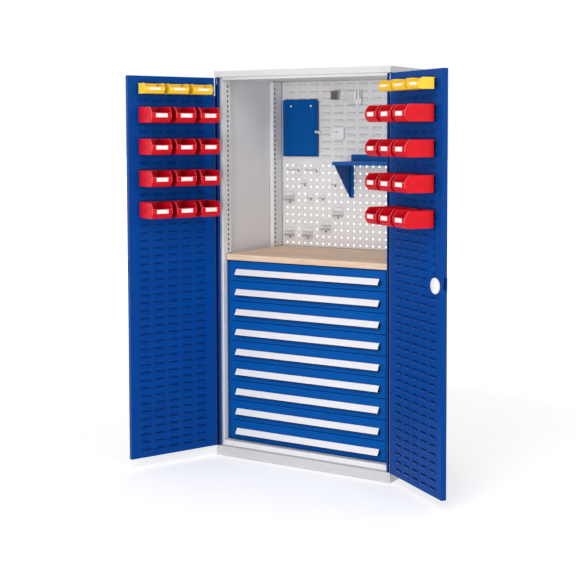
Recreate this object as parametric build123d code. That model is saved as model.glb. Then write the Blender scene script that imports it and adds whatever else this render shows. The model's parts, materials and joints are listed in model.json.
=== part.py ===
from build123d import *
import math
import os

# Tool cabinet with two hinged doors, a tool wall, a worktop and nine drawers.
# Frame: X to the right, Y to the back, Z up, all in millimetres. The origin is the middle of the
# base on the floor. At rest the doors stand open and the drawers are shut.

# ---- overall ----
width = 1000.0
depth = 580.0
height = 1950.0
sheet = 1.5
plinth_height = 50.0
cover_height = 30.0
flange = 20.0

# ---- doors ----
door_thickness = 25.0
door_sheet = 1.2
door_side_gap = 2.0
door_centre_gap = 3.0
door_end_gap = 3.5
door_seat_gap = 3.0
door_flange = 14.0
hinge_flange = 14.0
hinge_channel = 32.0
groove_strip_width = 8.0
groove_strip_depth = 3.0
pivot_from_edge = 6.0
pivot_from_face = 11.0
pin_radius = 4.0
pin_length = 45.0
pin_reach = 12.0
pin_play = 0.05
bush_radius = 6.0
bush_seat_gap = 0.3
left_open_angle = 114.9
right_open_angle = 146.5

# ---- carcass ----
stile_width = 30.0
post_depth = 68.0
post_sheet = 1.5
post_hole_pitch = 25.0
post_hole_drop = 44.0
post_hole_width = 10.0
post_hole_height = 13.0
front_hole_setback = 43.0
rear_post_depth = 92.0
rear_hole_setback = 15.0
floor_tray_height = 25.0
ceiling_drop = 13.0

# ---- louvres and perforation ----
pitch = 38.0
louvre_pitch_across = 2 * pitch
louvre_width = 52.0
louvre_height = 14.0
louvre_proud = 6.0
louvre_lip = 2.0
louvre_taper = 4.0
louvre_margin = 8.0
door_louvre_first = 116.0
door_louvre_bottom = 93.0
door_slot_width = 7.0
door_slot_height = 14.0
door_slot_offset = 10.0
wall_from_back = 8.0
wall_louvre_band = 427.0
wall_hole = 10.0
wall_hole_drop = 27.0
wall_hole_margin = 18.0
wall_hole_clear = 8.0
wall_return = 6.5

# ---- worktop and drawers ----
drawer_count = 9
drawer_pitch = 102.0
drawer_gap = 3.0
drawer_front_setback = 57.0
drawer_front_fold = 15.0
drawer_rear_gap = 21.5
drawer_wall = 70.0
drawer_floor_lift = 9.0
drawer_travel = 400.0
housing_strip = 22.0
housing_setback = 60.0
housing_top_band = 5.0
housing_side_gap = 1.0
runner_height = 36.0
runner_sheet = 1.5
runner_setback = 7.0
runner_foot = 24.0
rail_width = 12.0
rail_play = 1.0
drawer_base_gap = 1.5
worktop_thickness = 30.0
worktop_setback = 50.0
handle_margin = 34.0
handle_height = 28.0
handle_depth = 19.0
handle_wall = 2.0
handle_top_drop = 40.0

# ---- bins ----
bin_wall = 2.0
bin_width = 102.0
bin_pitch_across = 130.0
bin_standoff = 0.5
bin_lip_reach = 9.5
bin_hook_drop = 5.0
bin_rim = 1.2
bins_per_row = 3
red_depth = 144.0
red_height = 75.0
red_lean = 17.0
red_turn = 24.0
red_front = 46.0
red_side_cut = 22.0
red_rows = 4
red_row_step = 4
red_first_row = 3
yellow_depth = 75.0
yellow_height = 50.0
yellow_lean = 8.0
yellow_turn = 17.0
yellow_front = 31.0
yellow_side_cut = 15.0
label_sheet = 0.6
label_drop = 2.5
red_label_width = 60.0
red_label_height = 18.0
yellow_label_width = 60.0
yellow_label_height = 10.5

# ---- lock ----
lock_setback = 51.5
lock_level = 983.0
lock_disc_radius = 35.0
lock_disc_height = 7.0
spindle_side = 9.0
knob_radius = 22.0
knob_height = 9.0
grip_length = 62.0
grip_width = 16.0
grip_height = 19.0
cam_radius = 20.0
cam_sheet = 4.0
cam_depth = 9.5
cam_arm = 58.0
cam_arm_width = 13.0
cam_pin_radius = 3.0
cam_pin_orbit = 14.0
rod_width = 14.0
rod_sheet = 3.0
rod_gap = 0.4
rod_end_gap = 2.0
rod_slot_play = 0.7
rod_leg_gap = 2.0
rod_clear_centre = 26.0
rod_plate_height = 17.0
latch_slot_width = 8.0
guide_sheet = 1.5
guide_width = 20.0
guide_play = 0.4
guide_from_lock = 160.0
guide_from_end = 60.0
keeper_play = 2.0

# ---- wall accessories ----
fitting_sheet = 1.5
board_width = 218.0
board_height = 306.0
board_rim = 13.0
board_rim_width = 19.0
board_crest = 4.0
board_corner = 9.0
board_lip = 5.0
board_sheet = 1.2
board_side_gap = 19.0
board_hook_row = 3
board_above_hook = 34.5
board_stud_radius = 4.5
board_stud_inset = 46.0
board_stud_drop = 36.0
shelf_width = 450.0
shelf_depth = 200.0
shelf_sheet = 1.5
shelf_above_split = 1.0
shelf_lip = 17.0
shelf_upstand = 34.0
shelf_column_span = 11
bracket_inset = 7.0
bracket_depth = 186.0
bracket_height = 192.0
bracket_flange = 19.0
bracket_sheet = 2.0
bracket_toe = 12.0
bracket_lug_height = 16.0
peg_side = 7.0
peg_lift = 6.0
hook_plate_width = 28.0
hook_plate_height = 52.0
hook_plate_drop = 3.0
hook_corner = 8.0
hook_wire = 4.0
long_hook_reach = 108.0
hook_tip = 14.0
clip_reach = 22.0
clip_prong = 5.0
clip_spread = 20.0
wide_plate_width = 56.0
wide_plate_height = 62.0
wide_plate_rise = 6.0
wide_bar_drop = 34.0
wide_bar_height = 9.0
wide_rib_drop = 16.0
wide_rib_height = 2.5
plug_radius = 4.5
plug_depth = 4.0
plug_drop = 30.0
wide_plug_drop = 47.0
holder_width = 172.0
holder_height = 46.0
holder_column = 4
holder_offset = 28.0
holder_row = 1
holder_block = 42.0
holder_block_depth = 22.0
holder_rib = 3.0
holder_clip = 9.0
holder_tail_width = 79.0
holder_tail_height = 25.0
holder_tail_lip = 8.0
rod_plate_width = 76.0
rod_plate_drop = 68.0
rod_plate_column = 4
rod_plate_offset = 39.0
rod_plate_row = 6
rod_plate_fold = 16.0
arm_radius = 2.0
arm_reach = 78.0
arm_drop = 26.0
arm_ball_radius = 5.0
arm_pad_radius = 7.0
arm_pad_length = 9.0
arm_clearance = 1.0

# ---- values that follow from the ones above ----
front = -depth / 2
back = depth / 2
half = width / 2
cover_base = height - cover_height
door_width = half - door_side_gap - door_centre_gap / 2
door_bottom = plinth_height + door_end_gap
door_top = cover_base - door_end_gap
hinge_edge = half - door_side_gap
pivot_x = hinge_edge - pivot_from_edge
pivot_y = front + pivot_from_face
stile_front = front + door_thickness + door_seat_gap
inner_half = half - stile_width
floor_top = plinth_height + floor_tray_height
wall_front = back - wall_from_back
wall_split = cover_base - wall_louvre_band
wall_hole_top = wall_split - wall_hole_drop
worktop_bottom = floor_top + drawer_count * drawer_pitch + housing_top_band
worktop_top = worktop_bottom + worktop_thickness
housing_half = inner_half - housing_side_gap
post_hole_top = cover_base - post_hole_drop
post_hole_count = int((post_hole_top - worktop_top - post_hole_height) / post_hole_pitch) + 1
wall_width = 2 * inner_half
wall_louvre_columns = int((wall_width - louvre_width - 2 * louvre_margin) / louvre_pitch_across) + 1
wall_louvre_first = wall_hole_top + pitch + louvre_height / 2 + pitch / 4
wall_louvre_rows = int((cover_base - ceiling_drop - louvre_lip - wall_louvre_first) / pitch) + 1
wall_hole_columns = int((wall_width - wall_hole - 2 * wall_hole_margin) / pitch) + 1
wall_hole_rows = int((wall_hole_top - worktop_top - wall_hole / 2 - wall_hole_clear) / pitch) + 1
door_louvre_end = door_width - door_flange - louvre_margin - louvre_width / 2
door_louvre_columns = int((door_louvre_end - door_louvre_first) / louvre_pitch_across) + 1
door_louvre_rows = int((door_top - door_flange - louvre_lip - door_louvre_bottom) / pitch) + 1
lock_from_edge = door_width - lock_setback
drawer_front_plane = front + drawer_front_setback
drawer_depth = back - sheet - drawer_rear_gap - drawer_front_plane
handle_length = 2 * (housing_half - housing_strip - rail_play - handle_margin)
shelf_level = wall_split + shelf_above_split
shelf_first_column = wall_hole_columns // 2 - 2
rod_travel = 2 * cam_pin_orbit * math.sin(math.radians(45))
rod_depth = cam_depth + cam_sheet + rod_gap


def slab(x0, x1, y0, y1, z0, z1):
    """A box between two corners."""
    return Solid.make_box(x1 - x0, y1 - y0, z1 - z0).moved(Location((x0, y0, z0)))


def rod(x, y, z0, z1, radius):
    """An upright cylinder."""
    return Solid.make_cylinder(radius, z1 - z0).moved(Location((x, y, z0)))


def rod_along_y(x, y0, y1, z, radius):
    """A cylinder along the depth."""
    return Solid.make_cylinder(radius, y1 - y0, Plane((x, y0, z), z_dir=(0, 1, 0)))


def joined(pieces):
    """One welded solid out of several that touch."""
    return pieces[0].fuse(*pieces[1:])


def panel_face(points):
    """A flat face through the given corners."""
    return Face(Wire.make_polygon([Vector(*p) for p in points], close=True))


def side_prism(outline, x0, x1):
    """A solid with an outline in the depth-height plane, from x0 to x1."""
    return Solid.extrude(panel_face([(x0, y, z) for y, z in outline]), Vector(x1 - x0, 0, 0))


def plan_prism(outline, z0, z1):
    """A solid with an outline in plan, from z0 to z1."""
    return Solid.extrude(panel_face([(x, y, z0) for x, y in outline]), Vector(0, 0, z1 - z0))


def mirrored(solid):
    """The same piece on the other side of the cabinet."""
    return solid.mirror(Plane.YZ)


def both_sides(solid):
    return [solid, mirrored(solid)]


def spread(count, step):
    """Places at an even step on both sides of the middle."""
    return [(i - (count - 1) / 2) * step for i in range(count)]


# ---- carcass ----
def side_panels():
    inner = half - sheet
    right = slab(inner, half, stile_front, back, plinth_height, cover_base)
    return both_sides(right)


def post_section(y0, y1, open_back):
    """Plan outline of a channel between the side wall and the clear width of the cabinet."""
    outer = half - sheet
    web = inner_half
    t = post_sheet
    outline = [(outer, y0), (web, y0), (web, y1)]
    if open_back:
        outline += [(web + t, y1), (web + t, y0 + t), (outer, y0 + t)]
    else:
        outline += [(outer, y1), (outer, y1 - t), (web + t, y1 - t), (web + t, y0 + t), (outer, y0 + t)]
    return outline


def post(y0, y1, hole_y, open_back):
    """A post with a row of slots for shelf clips."""
    body = plan_prism(post_section(y0, y1, open_back), floor_top, cover_base - sheet)
    holes = []
    for i in range(post_hole_count):
        z = post_hole_top - i * post_hole_pitch
        y = hole_y
        holes.append(slab(inner_half - sheet, inner_half + 2 * sheet,
                          y - post_hole_width / 2, y + post_hole_width / 2,
                          z - post_hole_height / 2, z + post_hole_height / 2))
    return body.cut(*holes)


def front_posts():
    y0 = stile_front
    return both_sides(post(y0, y0 + post_depth, y0 + front_hole_setback, False))


def rear_posts():
    y0 = back - rear_post_depth
    return both_sides(post(y0, back - sheet, y0 + rear_hole_setback, True))


def hinge_holes(z0, z1):
    """Holes for the hinge bushes at both front corners."""
    play = 0.1
    return [rod(side * pivot_x, pivot_y, z0, z1, bush_radius + play) for side in (-1, 1)]


def keeper_hole(z0, z1):
    """The slot that a lock rod enters when the doors are shut."""
    x = hinge_edge - lock_from_edge
    y = front + rod_depth + rod_sheet / 2
    dx = rod_width / 2 + keeper_play
    dy = rod_sheet / 2 + keeper_play
    return slab(x - dx, x + dx, y - dy, y + dy, z0, z1)


def tray(x0, x1, y0, y1, z0, z1, wall):
    """A folded tray that is open underneath."""
    outside = slab(x0, x1, y0, y1, z0, z1)
    return outside.cut(slab(x0 + wall, x1 - wall, y0 + wall, y1 - wall, z0, z1 - wall))


def top_cover():
    shell = tray(-half, half, front, back, cover_base, height, sheet)
    ledge = slab(-half + sheet, half - sheet, front + sheet, stile_front, cover_base, cover_base + sheet)
    cover = joined([shell, ledge])
    below = cover_base - 1
    above = cover_base + sheet + 1
    return cover.cut(*hinge_holes(below, above), keeper_hole(below, above))


def ceiling_panel():
    inner = half - sheet
    top = slab(-inner, inner, stile_front, back, cover_base - sheet, cover_base)
    lip_base = cover_base - ceiling_drop
    lip = slab(-inner_half, inner_half, stile_front, stile_front + sheet, lip_base, cover_base - sheet)
    return joined([top, lip])


def floor_panel():
    inner = half - sheet
    return tray(-inner, inner, stile_front, back, plinth_height, floor_top, sheet)


def plinth():
    ring = slab(-half, half, front, back, 0, plinth_height)
    ring = ring.cut(slab(-half + sheet, half - sheet, front + sheet, back - sheet, 0, plinth_height))
    inner = half - sheet
    reach = inner - flange
    pieces = [ring]
    for z0 in (0, plinth_height - sheet):
        z1 = z0 + sheet
        y_in = stile_front + flange if z0 else front + flange
        pieces.append(slab(-inner, inner, front + sheet, y_in, z0, z1))
        pieces.append(slab(-inner, inner, back - flange, back - sheet, z0, z1))
        pieces.append(slab(-inner, -reach, y_in, back - flange, z0, z1))
        pieces.append(slab(reach, inner, y_in, back - flange, z0, z1))
    frame = joined(pieces)
    below = plinth_height - sheet - 1
    above = plinth_height + 1
    return frame.cut(*hinge_holes(below, above), keeper_hole(below, above))


def hinge_bushes():
    """Plain bearings for the door pins, held in the cover and in the plinth."""
    top = (door_top + bush_seat_gap, door_top + pin_reach + 2)
    bottom = (door_bottom - pin_reach - 2, door_bottom - bush_seat_gap)
    bushes = []
    for side in (-1, 1):
        for z0, z1 in (top, bottom):
            body = rod(side * pivot_x, pivot_y, z0, z1, bush_radius)
            bushes.append(body.cut(rod(side * pivot_x, pivot_y, z0, z1, pin_radius + pin_play)))
    return bushes


def back_panel():
    return slab(-half + sheet, half - sheet, back - sheet, back, floor_top, worktop_bottom)


# ---- louvred and perforated sheets ----
def hole_ring(points, y):
    """A closed wire at one depth through (x, z) points."""
    return Wire.make_polygon([Vector(x, y, z) for x, z in points], close=True)


def louvre_faces(x, top, y_face, y_back, out):
    """A pressed louvre with closed tapered ends that opens upwards.

    Returns its wires in the front and the back of the sheet, and its own faces.
    """
    t = abs(y_face - y_back)
    c = top - louvre_height
    d = top - louvre_lip
    a = x - louvre_width / 2
    b = x + louvre_width / 2
    tip = y_face + out * louvre_proud
    tip_in = tip - out * t
    e = louvre_taper
    f = e * t / louvre_proud
    outer_wire = hole_ring([(a, c), (b, c), (b, d), (b - t - f, d), (a + t + f, d), (a, d)], y_face)
    inner_wire = hole_ring([(a + t, c), (b - t, c), (b - t, d), (a + t, d)], y_back)
    faces = [
        panel_face([(a, y_face, c), (b, y_face, c), (b - e, tip, d), (a + e, tip, d)]),
        panel_face([(a, y_face, c), (a + e, tip, d), (a, y_face, d)]),
        panel_face([(b, y_face, c), (b - e, tip, d), (b, y_face, d)]),
        panel_face([(a + t, y_back, c), (b - t, y_back, c), (b - t - e, tip_in, d), (a + t + e, tip_in, d)]),
        panel_face([(a + t, y_back, c), (a + t + e, tip_in, d), (a + t + f, y_face, d), (a + t, y_back, d)]),
        panel_face([(b - t, y_back, c), (b - t - e, tip_in, d), (b - t - f, y_face, d), (b - t, y_back, d)]),
        panel_face([(a, y_face, d), (a + e, tip, d), (b - e, tip, d), (b, y_face, d),
                    (b - t - f, y_face, d), (b - t - e, tip_in, d), (a + t + e, tip_in, d),
                    (a + t + f, y_face, d)]),
        panel_face([(a + t + f, y_face, d), (b - t - f, y_face, d), (b - t, y_back, d), (a + t, y_back, d)]),
    ]
    return outer_wire, inner_wire, faces


def slot_faces(x, top, y_face, y_back):
    """An upright slot through the sheet, its top at the given height."""
    a = x - door_slot_width / 2
    b = x + door_slot_width / 2
    c = top - door_slot_height
    ring = [(a, c), (b, c), (b, top), (a, top)]
    faces = []
    for (xa, za), (xb, zb) in zip(ring, ring[1:] + ring[:1]):
        faces.append(panel_face([(xa, y_face, za), (xb, y_face, zb), (xb, y_back, zb), (xa, y_back, za)]))
    return hole_ring(ring, y_face), hole_ring(ring, y_back), faces


def louvred_sheet(x0, x1, z0, z1, y_face, out, sheet_t, cells, slots=()):
    """A sheet with pressed louvres, sewn from its own faces.

    y_face is the side that the louvres stand on, out is +1 or -1 along Y, and cells and slots list
    the middle and the top edge of each louvre and of each slot.
    """
    y_back = y_face - out * sheet_t
    front_wires = []
    back_wires = []
    faces = []
    features = [louvre_faces(x, top, y_face, y_back, out) for x, top in cells]
    features += [slot_faces(x, top, y_face, y_back) for x, top in slots]
    for front_wire, back_wire, own in features:
        front_wires.append(front_wire)
        back_wires.append(back_wire)
        faces += own
    rectangle = [(x0, z0), (x1, z0), (x1, z1), (x0, z1)]
    faces.append(Face(hole_ring(rectangle, y_face), front_wires))
    faces.append(Face(hole_ring(rectangle, y_back), back_wires))
    for x in (x0, x1):
        faces.append(panel_face([(x, y_face, z0), (x, y_back, z0), (x, y_back, z1), (x, y_face, z1)]))
    for z in (z0, z1):
        faces.append(panel_face([(x0, y_face, z), (x1, y_face, z), (x1, y_back, z), (x0, y_back, z)]))
    return Solid(Shell(faces))


def wall_louvre_tops():
    """Top edges of the wall's louvre rows, from the top one down."""
    return [wall_louvre_first + i * pitch for i in reversed(range(wall_louvre_rows))]


def louvred_wall():
    cells = [(x, z) for x in spread(wall_louvre_columns, louvre_pitch_across) for z in wall_louvre_tops()]
    z1 = cover_base - sheet
    return louvred_sheet(-inner_half, inner_half, wall_split, z1, wall_front, -1, sheet, cells)


def wall_hole_places():
    rows = [wall_hole_top - i * pitch for i in range(wall_hole_rows)]
    return [(x, z) for x in spread(wall_hole_columns, pitch) for z in rows]


def perforated_wall():
    """The lower half of the tool wall, a grid of square holes."""
    bottom = worktop_bottom
    w = inner_half
    corners = [(-w, bottom), (w, bottom), (w, wall_split), (-w, wall_split)]
    outer = hole_ring(corners, wall_front)
    side = wall_hole / 2
    windows = []
    for x, z in wall_hole_places():
        ring = [(x - side, z - side), (x + side, z - side), (x + side, z + side), (x - side, z + side)]
        windows.append(hole_ring(ring, wall_front))
    plate = Solid.extrude(Face(outer, windows), Vector(0, sheet, 0))
    y0 = wall_front + sheet
    foot = slab(-inner_half, inner_half, y0, y0 + wall_return - sheet, bottom, bottom + sheet)
    return joined([plate, foot])


# ---- worktop and drawer block ----
def worktop():
    return slab(-housing_half, housing_half, front + worktop_setback, wall_front - 1,
                worktop_bottom, worktop_top)


def housing_back():
    return back - sheet


def housing_sides():
    """Side walls of the drawer block with their front strips."""
    y0 = front + housing_setback
    z0 = floor_top + sheet
    z1 = worktop_bottom - sheet
    wall = slab(housing_half - sheet, housing_half, y0, housing_back(), z0, z1)
    strip = slab(housing_half - housing_strip, housing_half - sheet, y0, y0 + sheet, z0, z1)
    return both_sides(joined([wall, strip]))


def housing_plates():
    """Bottom and top plate of the drawer block."""
    y0 = front + housing_setback
    bottom = slab(-housing_half, housing_half, y0, housing_back(), floor_top, floor_top + sheet)
    top = slab(-housing_half, housing_half, y0, housing_back(), worktop_bottom - sheet, worktop_bottom)
    return [bottom, top]


def drawer_base(index):
    """Lower edge of a drawer's space, counted from the top drawer."""
    return floor_top + sheet + drawer_base_gap + (drawer_count - 1 - index) * drawer_pitch


def runner_base(index):
    return drawer_base(index) + drawer_floor_lift


def opening_half():
    """Half of the clear width between the front strips."""
    return housing_half - housing_strip


def drawer_runners():
    """Two fixed channels for each drawer, on feet that reach to the block's side walls."""
    y0 = front + housing_setback + runner_setback
    y1 = y0 + drawer_depth
    web_x = opening_half()
    web_out = web_x + runner_sheet
    wall_x = housing_half - sheet
    tip_x = web_x - rail_width
    runners = []
    for i in range(drawer_count):
        z0 = runner_base(i)
        z1 = z0 + runner_height
        web = slab(web_x, web_out, y0, y1, z0, z1)
        low = slab(tip_x, web_x, y0, y1, z0, z0 + runner_sheet)
        high = slab(tip_x, web_x, y0, y1, z1 - runner_sheet, z1)
        feet = [slab(web_out, wall_x, y, y + runner_foot, z0, z1) for y in (y0, y1 - 2 * runner_foot)]
        runners += both_sides(joined([web, low, high, *feet]))
    return runners


def drawer(index):
    """A drawer with its front, walls, floor and the rails welded to its sides."""
    z0 = drawer_base(index)
    y0 = drawer_front_plane
    y1 = y0 + drawer_depth
    t = sheet
    half_front = opening_half() - rail_play
    half_box = half_front - rail_width
    floor_z = z0 + drawer_floor_lift
    wall_z = floor_z + drawer_wall
    face = slab(-half_front, half_front, y0, y0 + t, z0, z0 + drawer_pitch - drawer_gap)
    fold_z = z0 + drawer_pitch - drawer_gap - t
    folds = [slab(-half_front, half_front, y0 + t, y0 + drawer_front_fold, z, z + t) for z in (z0, fold_z)]
    y_box = y0 + t
    floor = slab(-half_box, half_box, y_box, y1, floor_z, floor_z + t)
    rear = slab(-half_box, half_box, y1 - t, y1, floor_z + t, wall_z)
    wall = slab(half_box - t, half_box, y_box, y1 - t, floor_z + t, wall_z)
    rail_low = runner_base(index) + runner_sheet
    rail_high = runner_base(index) + runner_height - runner_sheet - rail_play
    bar = slab(half_box, half_front, y0 + 2 * drawer_front_fold, y1, rail_low, rail_high)
    return joined([face, *folds, floor, rear, *both_sides(wall), *both_sides(bar)])


def drawer_handle(index):
    """A full-width grip strip with a sloping face, screwed to the drawer's front."""
    y0 = drawer_front_plane
    z1 = drawer_base(index) + drawer_pitch - drawer_gap - handle_top_drop
    z0 = z1 - handle_height
    w = handle_wall
    outline = [(y0, z1), (y0 - w, z1), (y0 - handle_depth, z0 + w), (y0 - handle_depth, z0),
               (y0 - handle_depth + w, z0), (y0 - handle_depth + w, z0 + w + 1),
               (y0 - w, z1 - 2 * w), (y0 - w, z0 + 2 * w), (y0, z0 + 2 * w)]
    return side_prism(outline, -handle_length / 2, handle_length / 2)


# ---- doors, built shut on the left side and then turned open ----
def hung_left(solid):
    """Puts a piece from door coordinates onto the left hinge and opens it."""
    shut = solid.moved(Location((-hinge_edge, front, 0)))
    return turned(shut, -pivot_x, -left_open_angle)


def hung_right(solid):
    shut = mirrored(solid.moved(Location((-hinge_edge, front, 0))))
    return turned(shut, pivot_x, right_open_angle)


def turned(solid, x, angle):
    """A solid turned about the upright line of a hinge."""
    there = Location((x, pivot_y, 0))
    spin = Location((0, 0, 0), (0, 0, angle))
    home = Location((-x, -pivot_y, 0))
    return solid.moved(there * spin * home)


def door_shell(has_lock):
    """The outer pan: face, edges, the flanges that carry the inner panel, the hinge channel."""
    t = door_sheet
    w = door_width
    zb = door_bottom
    zt = door_top
    seat = door_thickness - t
    face = slab(0, w, 0, t, zb, zt)
    edges = [slab(0, t, t, door_thickness, zb, zt), slab(w - t, w, t, door_thickness, zb, zt)]
    ends = [slab(t, w - t, t, seat, z, z + t) for z in (zb, zt - t)]
    channel = slab(hinge_channel, hinge_channel + t, t, seat, zb + t, zt - t)
    hinge_side = slab(t, hinge_flange, seat, door_thickness, zb, zt)
    side_flange = slab(w - door_flange, w - t, seat - t, seat, zb + t, zt - t)
    x0 = hinge_channel + t
    x1 = w - door_flange
    end_flanges = [slab(x0, x1, seat - t, seat, zb + t, zb + door_flange),
                   slab(x0, x1, seat - t, seat, zt - door_flange, zt - t)]
    shell = joined([face, *edges, *ends, channel, hinge_side, side_flange, *end_flanges])
    cuts = [rod(pivot_from_edge, pivot_from_face, z - 1, z + t + 1, pin_radius + 0.1) for z in (zb, zt - t)]
    y0 = cam_depth + cam_sheet / 2 - latch_slot_width / 2
    cuts.append(slab(w - t - 1, w + 1, y0, y0 + latch_slot_width,
                     lock_level - cam_arm_width, lock_level + 3 * cam_arm_width))
    if has_lock:
        cuts.append(rod_along_y(lock_from_edge, -1, t + 1, lock_level, spindle_side))
        dx = rod_width / 2 + guide_play
        for z in (zb, zt - t - door_flange):
            cuts.append(slab(lock_from_edge - dx, lock_from_edge + dx, rod_depth - guide_play,
                             rod_depth + rod_sheet + guide_play, z - 1, z + door_flange + t + 1))
    return shell.cut(*cuts)


def near_lock(x):
    """Whether a louvre in this column would meet the lock's disc."""
    return abs(x - lock_from_edge) < lock_disc_radius + louvre_height + louvre_width / 2


def door_louvre_places():
    """Middle and top edge of every louvre that a door panel has room for."""
    columns = [door_louvre_first + i * louvre_pitch_across for i in range(door_louvre_columns)]
    tops = [door_louvre_bottom + k * pitch for k in range(door_louvre_rows)]
    return [(x, top) for x in columns for top in tops]


def lowest_bin():
    """Underside of the lowest row of red bins."""
    return row_top(red_first_row + (red_rows - 1) * red_row_step) - red_height


def door_louvre_cells(has_lock):
    """The louvres of one door: beside the lock there are none from its disc up to the bins."""
    clear = lock_disc_radius + louvre_height
    cells = []
    for x, top in door_louvre_places():
        if not (has_lock and near_lock(x) and lock_level - clear < top < lowest_bin()):
            cells.append((x, top))
    return cells


def door_slots(has_lock):
    """Upright slots in the lock's column between its disc and the bins."""
    if not has_lock:
        return []
    clear = lock_disc_radius + louvre_height
    return [(x + door_slot_offset, top) for x, top in door_louvre_places()
            if near_lock(x) and lock_level + clear < top < lowest_bin()]


def door_panel(has_lock):
    """The louvred inner panel."""
    t = door_sheet
    x0 = hinge_channel
    x1 = door_width - t - 0.2
    z0 = door_bottom + t + 0.2
    z1 = door_top - t - 0.2
    cells = door_louvre_cells(has_lock)
    return louvred_sheet(x0, x1, z0, z1, door_thickness, 1, t, cells, door_slots(has_lock))


def hinge_pins():
    """The fixed pivot pins of a door and the bright strip in the groove beside them."""
    x = pivot_from_edge
    y = pivot_from_face
    low = rod(x, y, door_bottom - pin_reach, door_bottom - pin_reach + pin_length, pin_radius)
    high = rod(x, y, door_top + pin_reach - pin_length, door_top + pin_reach, pin_radius)
    t = door_sheet
    y1 = door_thickness - 2 * t
    strip = slab(hinge_channel - groove_strip_width, hinge_channel, y1 - groove_strip_depth, y1,
                 door_bottom + t, door_top - t)
    return [low, high, strip]


# ---- bins on the doors ----
def bin_back():
    """Back of a hanging bin, clear of the louvres."""
    return door_thickness + louvre_proud + bin_lip_reach


def curve_points(start, end, bulge, steps=4):
    """Points between two (y, z) places along a curve that bulges to the front."""
    points = []
    for i in range(1, steps):
        share = i / steps
        y = start[0] + share * (end[0] - start[0]) + bulge * math.sin(math.pi * share)
        points.append((y, start[1] + share * (end[1] - start[1])))
    return points


def bin_side(kind):
    """Side view of a bin: the foot leans out, the front stands upright, the sides sweep back."""
    size_y, size_z, lean, turn, front_wall, side_cut = kind
    foot = (size_y - lean, 0)
    low = (size_y, turn)
    high = (size_y, front_wall)
    top = (size_y - side_cut, size_z)
    return [(0, size_z), (0, 0), foot, *curve_points(foot, low, lean / 8), low, high,
            *curve_points(high, top, side_cut / 8), top]


def bin_hollow(kind):
    """Side view of the space inside, which runs out over the front wall."""
    size_y, size_z, lean, turn, front_wall, side_cut = kind
    w = bin_wall
    foot = (size_y - lean - w, w)
    low = (size_y - w, turn)
    return [(w, size_z + w), (w, w), foot, *curve_points(foot, low, lean / 8), low, (size_y - w, front_wall),
            (size_y + w, front_wall), (size_y + w, size_z + w)]


def hook_spans(x0, x1):
    """The stretches of a hanging lip that fit between the ends of the louvres."""
    reach = louvre_width / 2 - 2 * sheet - louvre_taper
    spans = []
    for i in range(door_louvre_columns):
        middle = door_louvre_first + i * louvre_pitch_across
        a = max(x0, middle - reach)
        b = min(x1, middle + reach)
        if b - a > 2 * bin_wall:
            spans.append((a, b))
    return spans


def bin_rims(kind, y0, z0, x0, x1):
    """Thickened edges that frame the open front on both sides."""
    size_y, size_z, lean, turn, front_wall, side_cut = kind
    r = bin_rim
    w = 2 * bin_wall
    high = (size_y, front_wall)
    top = (size_y - side_cut, size_z)
    edge = [(size_y, turn), high, *curve_points(high, top, side_cut / 8), top]
    inner = [(y - w, z) for y, z in reversed(edge)]
    outline = [(y0 + y, z0 + z) for y, z in edge + inner]
    return [side_prism(outline, x0 - r, x0), side_prism(outline, x1, x1 + r)]


def storage_bin(x, kind):
    """An open bin whose rear lip hangs in the louvres, with its top edge at zero height."""
    size_y, size_z = kind[:2]
    y0 = bin_back()
    z0 = -size_z
    x0 = x - bin_width / 2
    x1 = x + bin_width / 2
    w = bin_wall
    outside = [(y0 + y, z0 + z) for y, z in bin_side(kind)]
    inside = [(y0 + y, z0 + z) for y, z in bin_hollow(kind)]
    body = side_prism(outside, x0, x1).cut(side_prism(inside, x0 + w, x1 - w))
    y_hook = door_thickness + bin_standoff
    pieces = [body, *bin_rims(kind, y0, z0, x0, x1)]
    pieces.append(slab(x0, x1, door_thickness + louvre_proud + bin_standoff, y0, -louvre_lip, 0))
    for a, b in hook_spans(x0, x1):
        pieces.append(slab(a, b, y_hook, door_thickness + louvre_proud + bin_standoff, -louvre_lip, 0))
        pieces.append(slab(a, b, y_hook, y_hook + w, -bin_hook_drop, -louvre_lip))
    return joined(pieces)


def label_card(x, kind, card_width, card_height):
    """A blank card on the upright front of a bin, whose top edge is at zero height."""
    size_y, size_z, lean, turn, front_wall, side_cut = kind
    y0 = bin_back() + size_y
    z1 = front_wall - size_z - label_drop
    return slab(x - card_width / 2, x + card_width / 2, y0, y0 + label_sheet, z1 - card_height, z1)


def bin_columns():
    middle = door_louvre_first + (door_louvre_columns - 1) / 2 * louvre_pitch_across
    return [middle + x for x in spread(bins_per_row, bin_pitch_across)]


def row_top(row):
    """Top edge of a louvre row, counted from the top row down."""
    return door_louvre_bottom + (door_louvre_rows - 1 - row) * pitch


def red_tops():
    return [row_top(red_first_row + i * red_row_step) for i in range(red_rows)]


def yellow_tops():
    return [row_top(0)]


def red_kind():
    return (red_depth, red_height, red_lean, red_turn, red_front, red_side_cut)


def yellow_kind():
    return (yellow_depth, yellow_height, yellow_lean, yellow_turn, yellow_front, yellow_side_cut)


def at_rows(pieces, tops):
    """Copies of the pieces of one row in every row."""
    return [piece.moved(Location((0, 0, top))) for top in tops for piece in pieces]


def red_bins():
    return at_rows([storage_bin(x, red_kind()) for x in bin_columns()], red_tops())


def yellow_bins():
    return at_rows([storage_bin(x, yellow_kind()) for x in bin_columns()], yellow_tops())


def label_cards():
    yellow = [label_card(x, yellow_kind(), yellow_label_width, yellow_label_height) for x in bin_columns()]
    red = [label_card(x, red_kind(), red_label_width, red_label_height) for x in bin_columns()]
    return at_rows(yellow, yellow_tops()) + at_rows(red, red_tops())


# ---- lock of the right door, in door coordinates ----
def lock_cover_disc():
    y0 = door_thickness
    return rod_along_y(lock_from_edge, y0, y0 + lock_disc_height, lock_level, lock_disc_radius)


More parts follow.
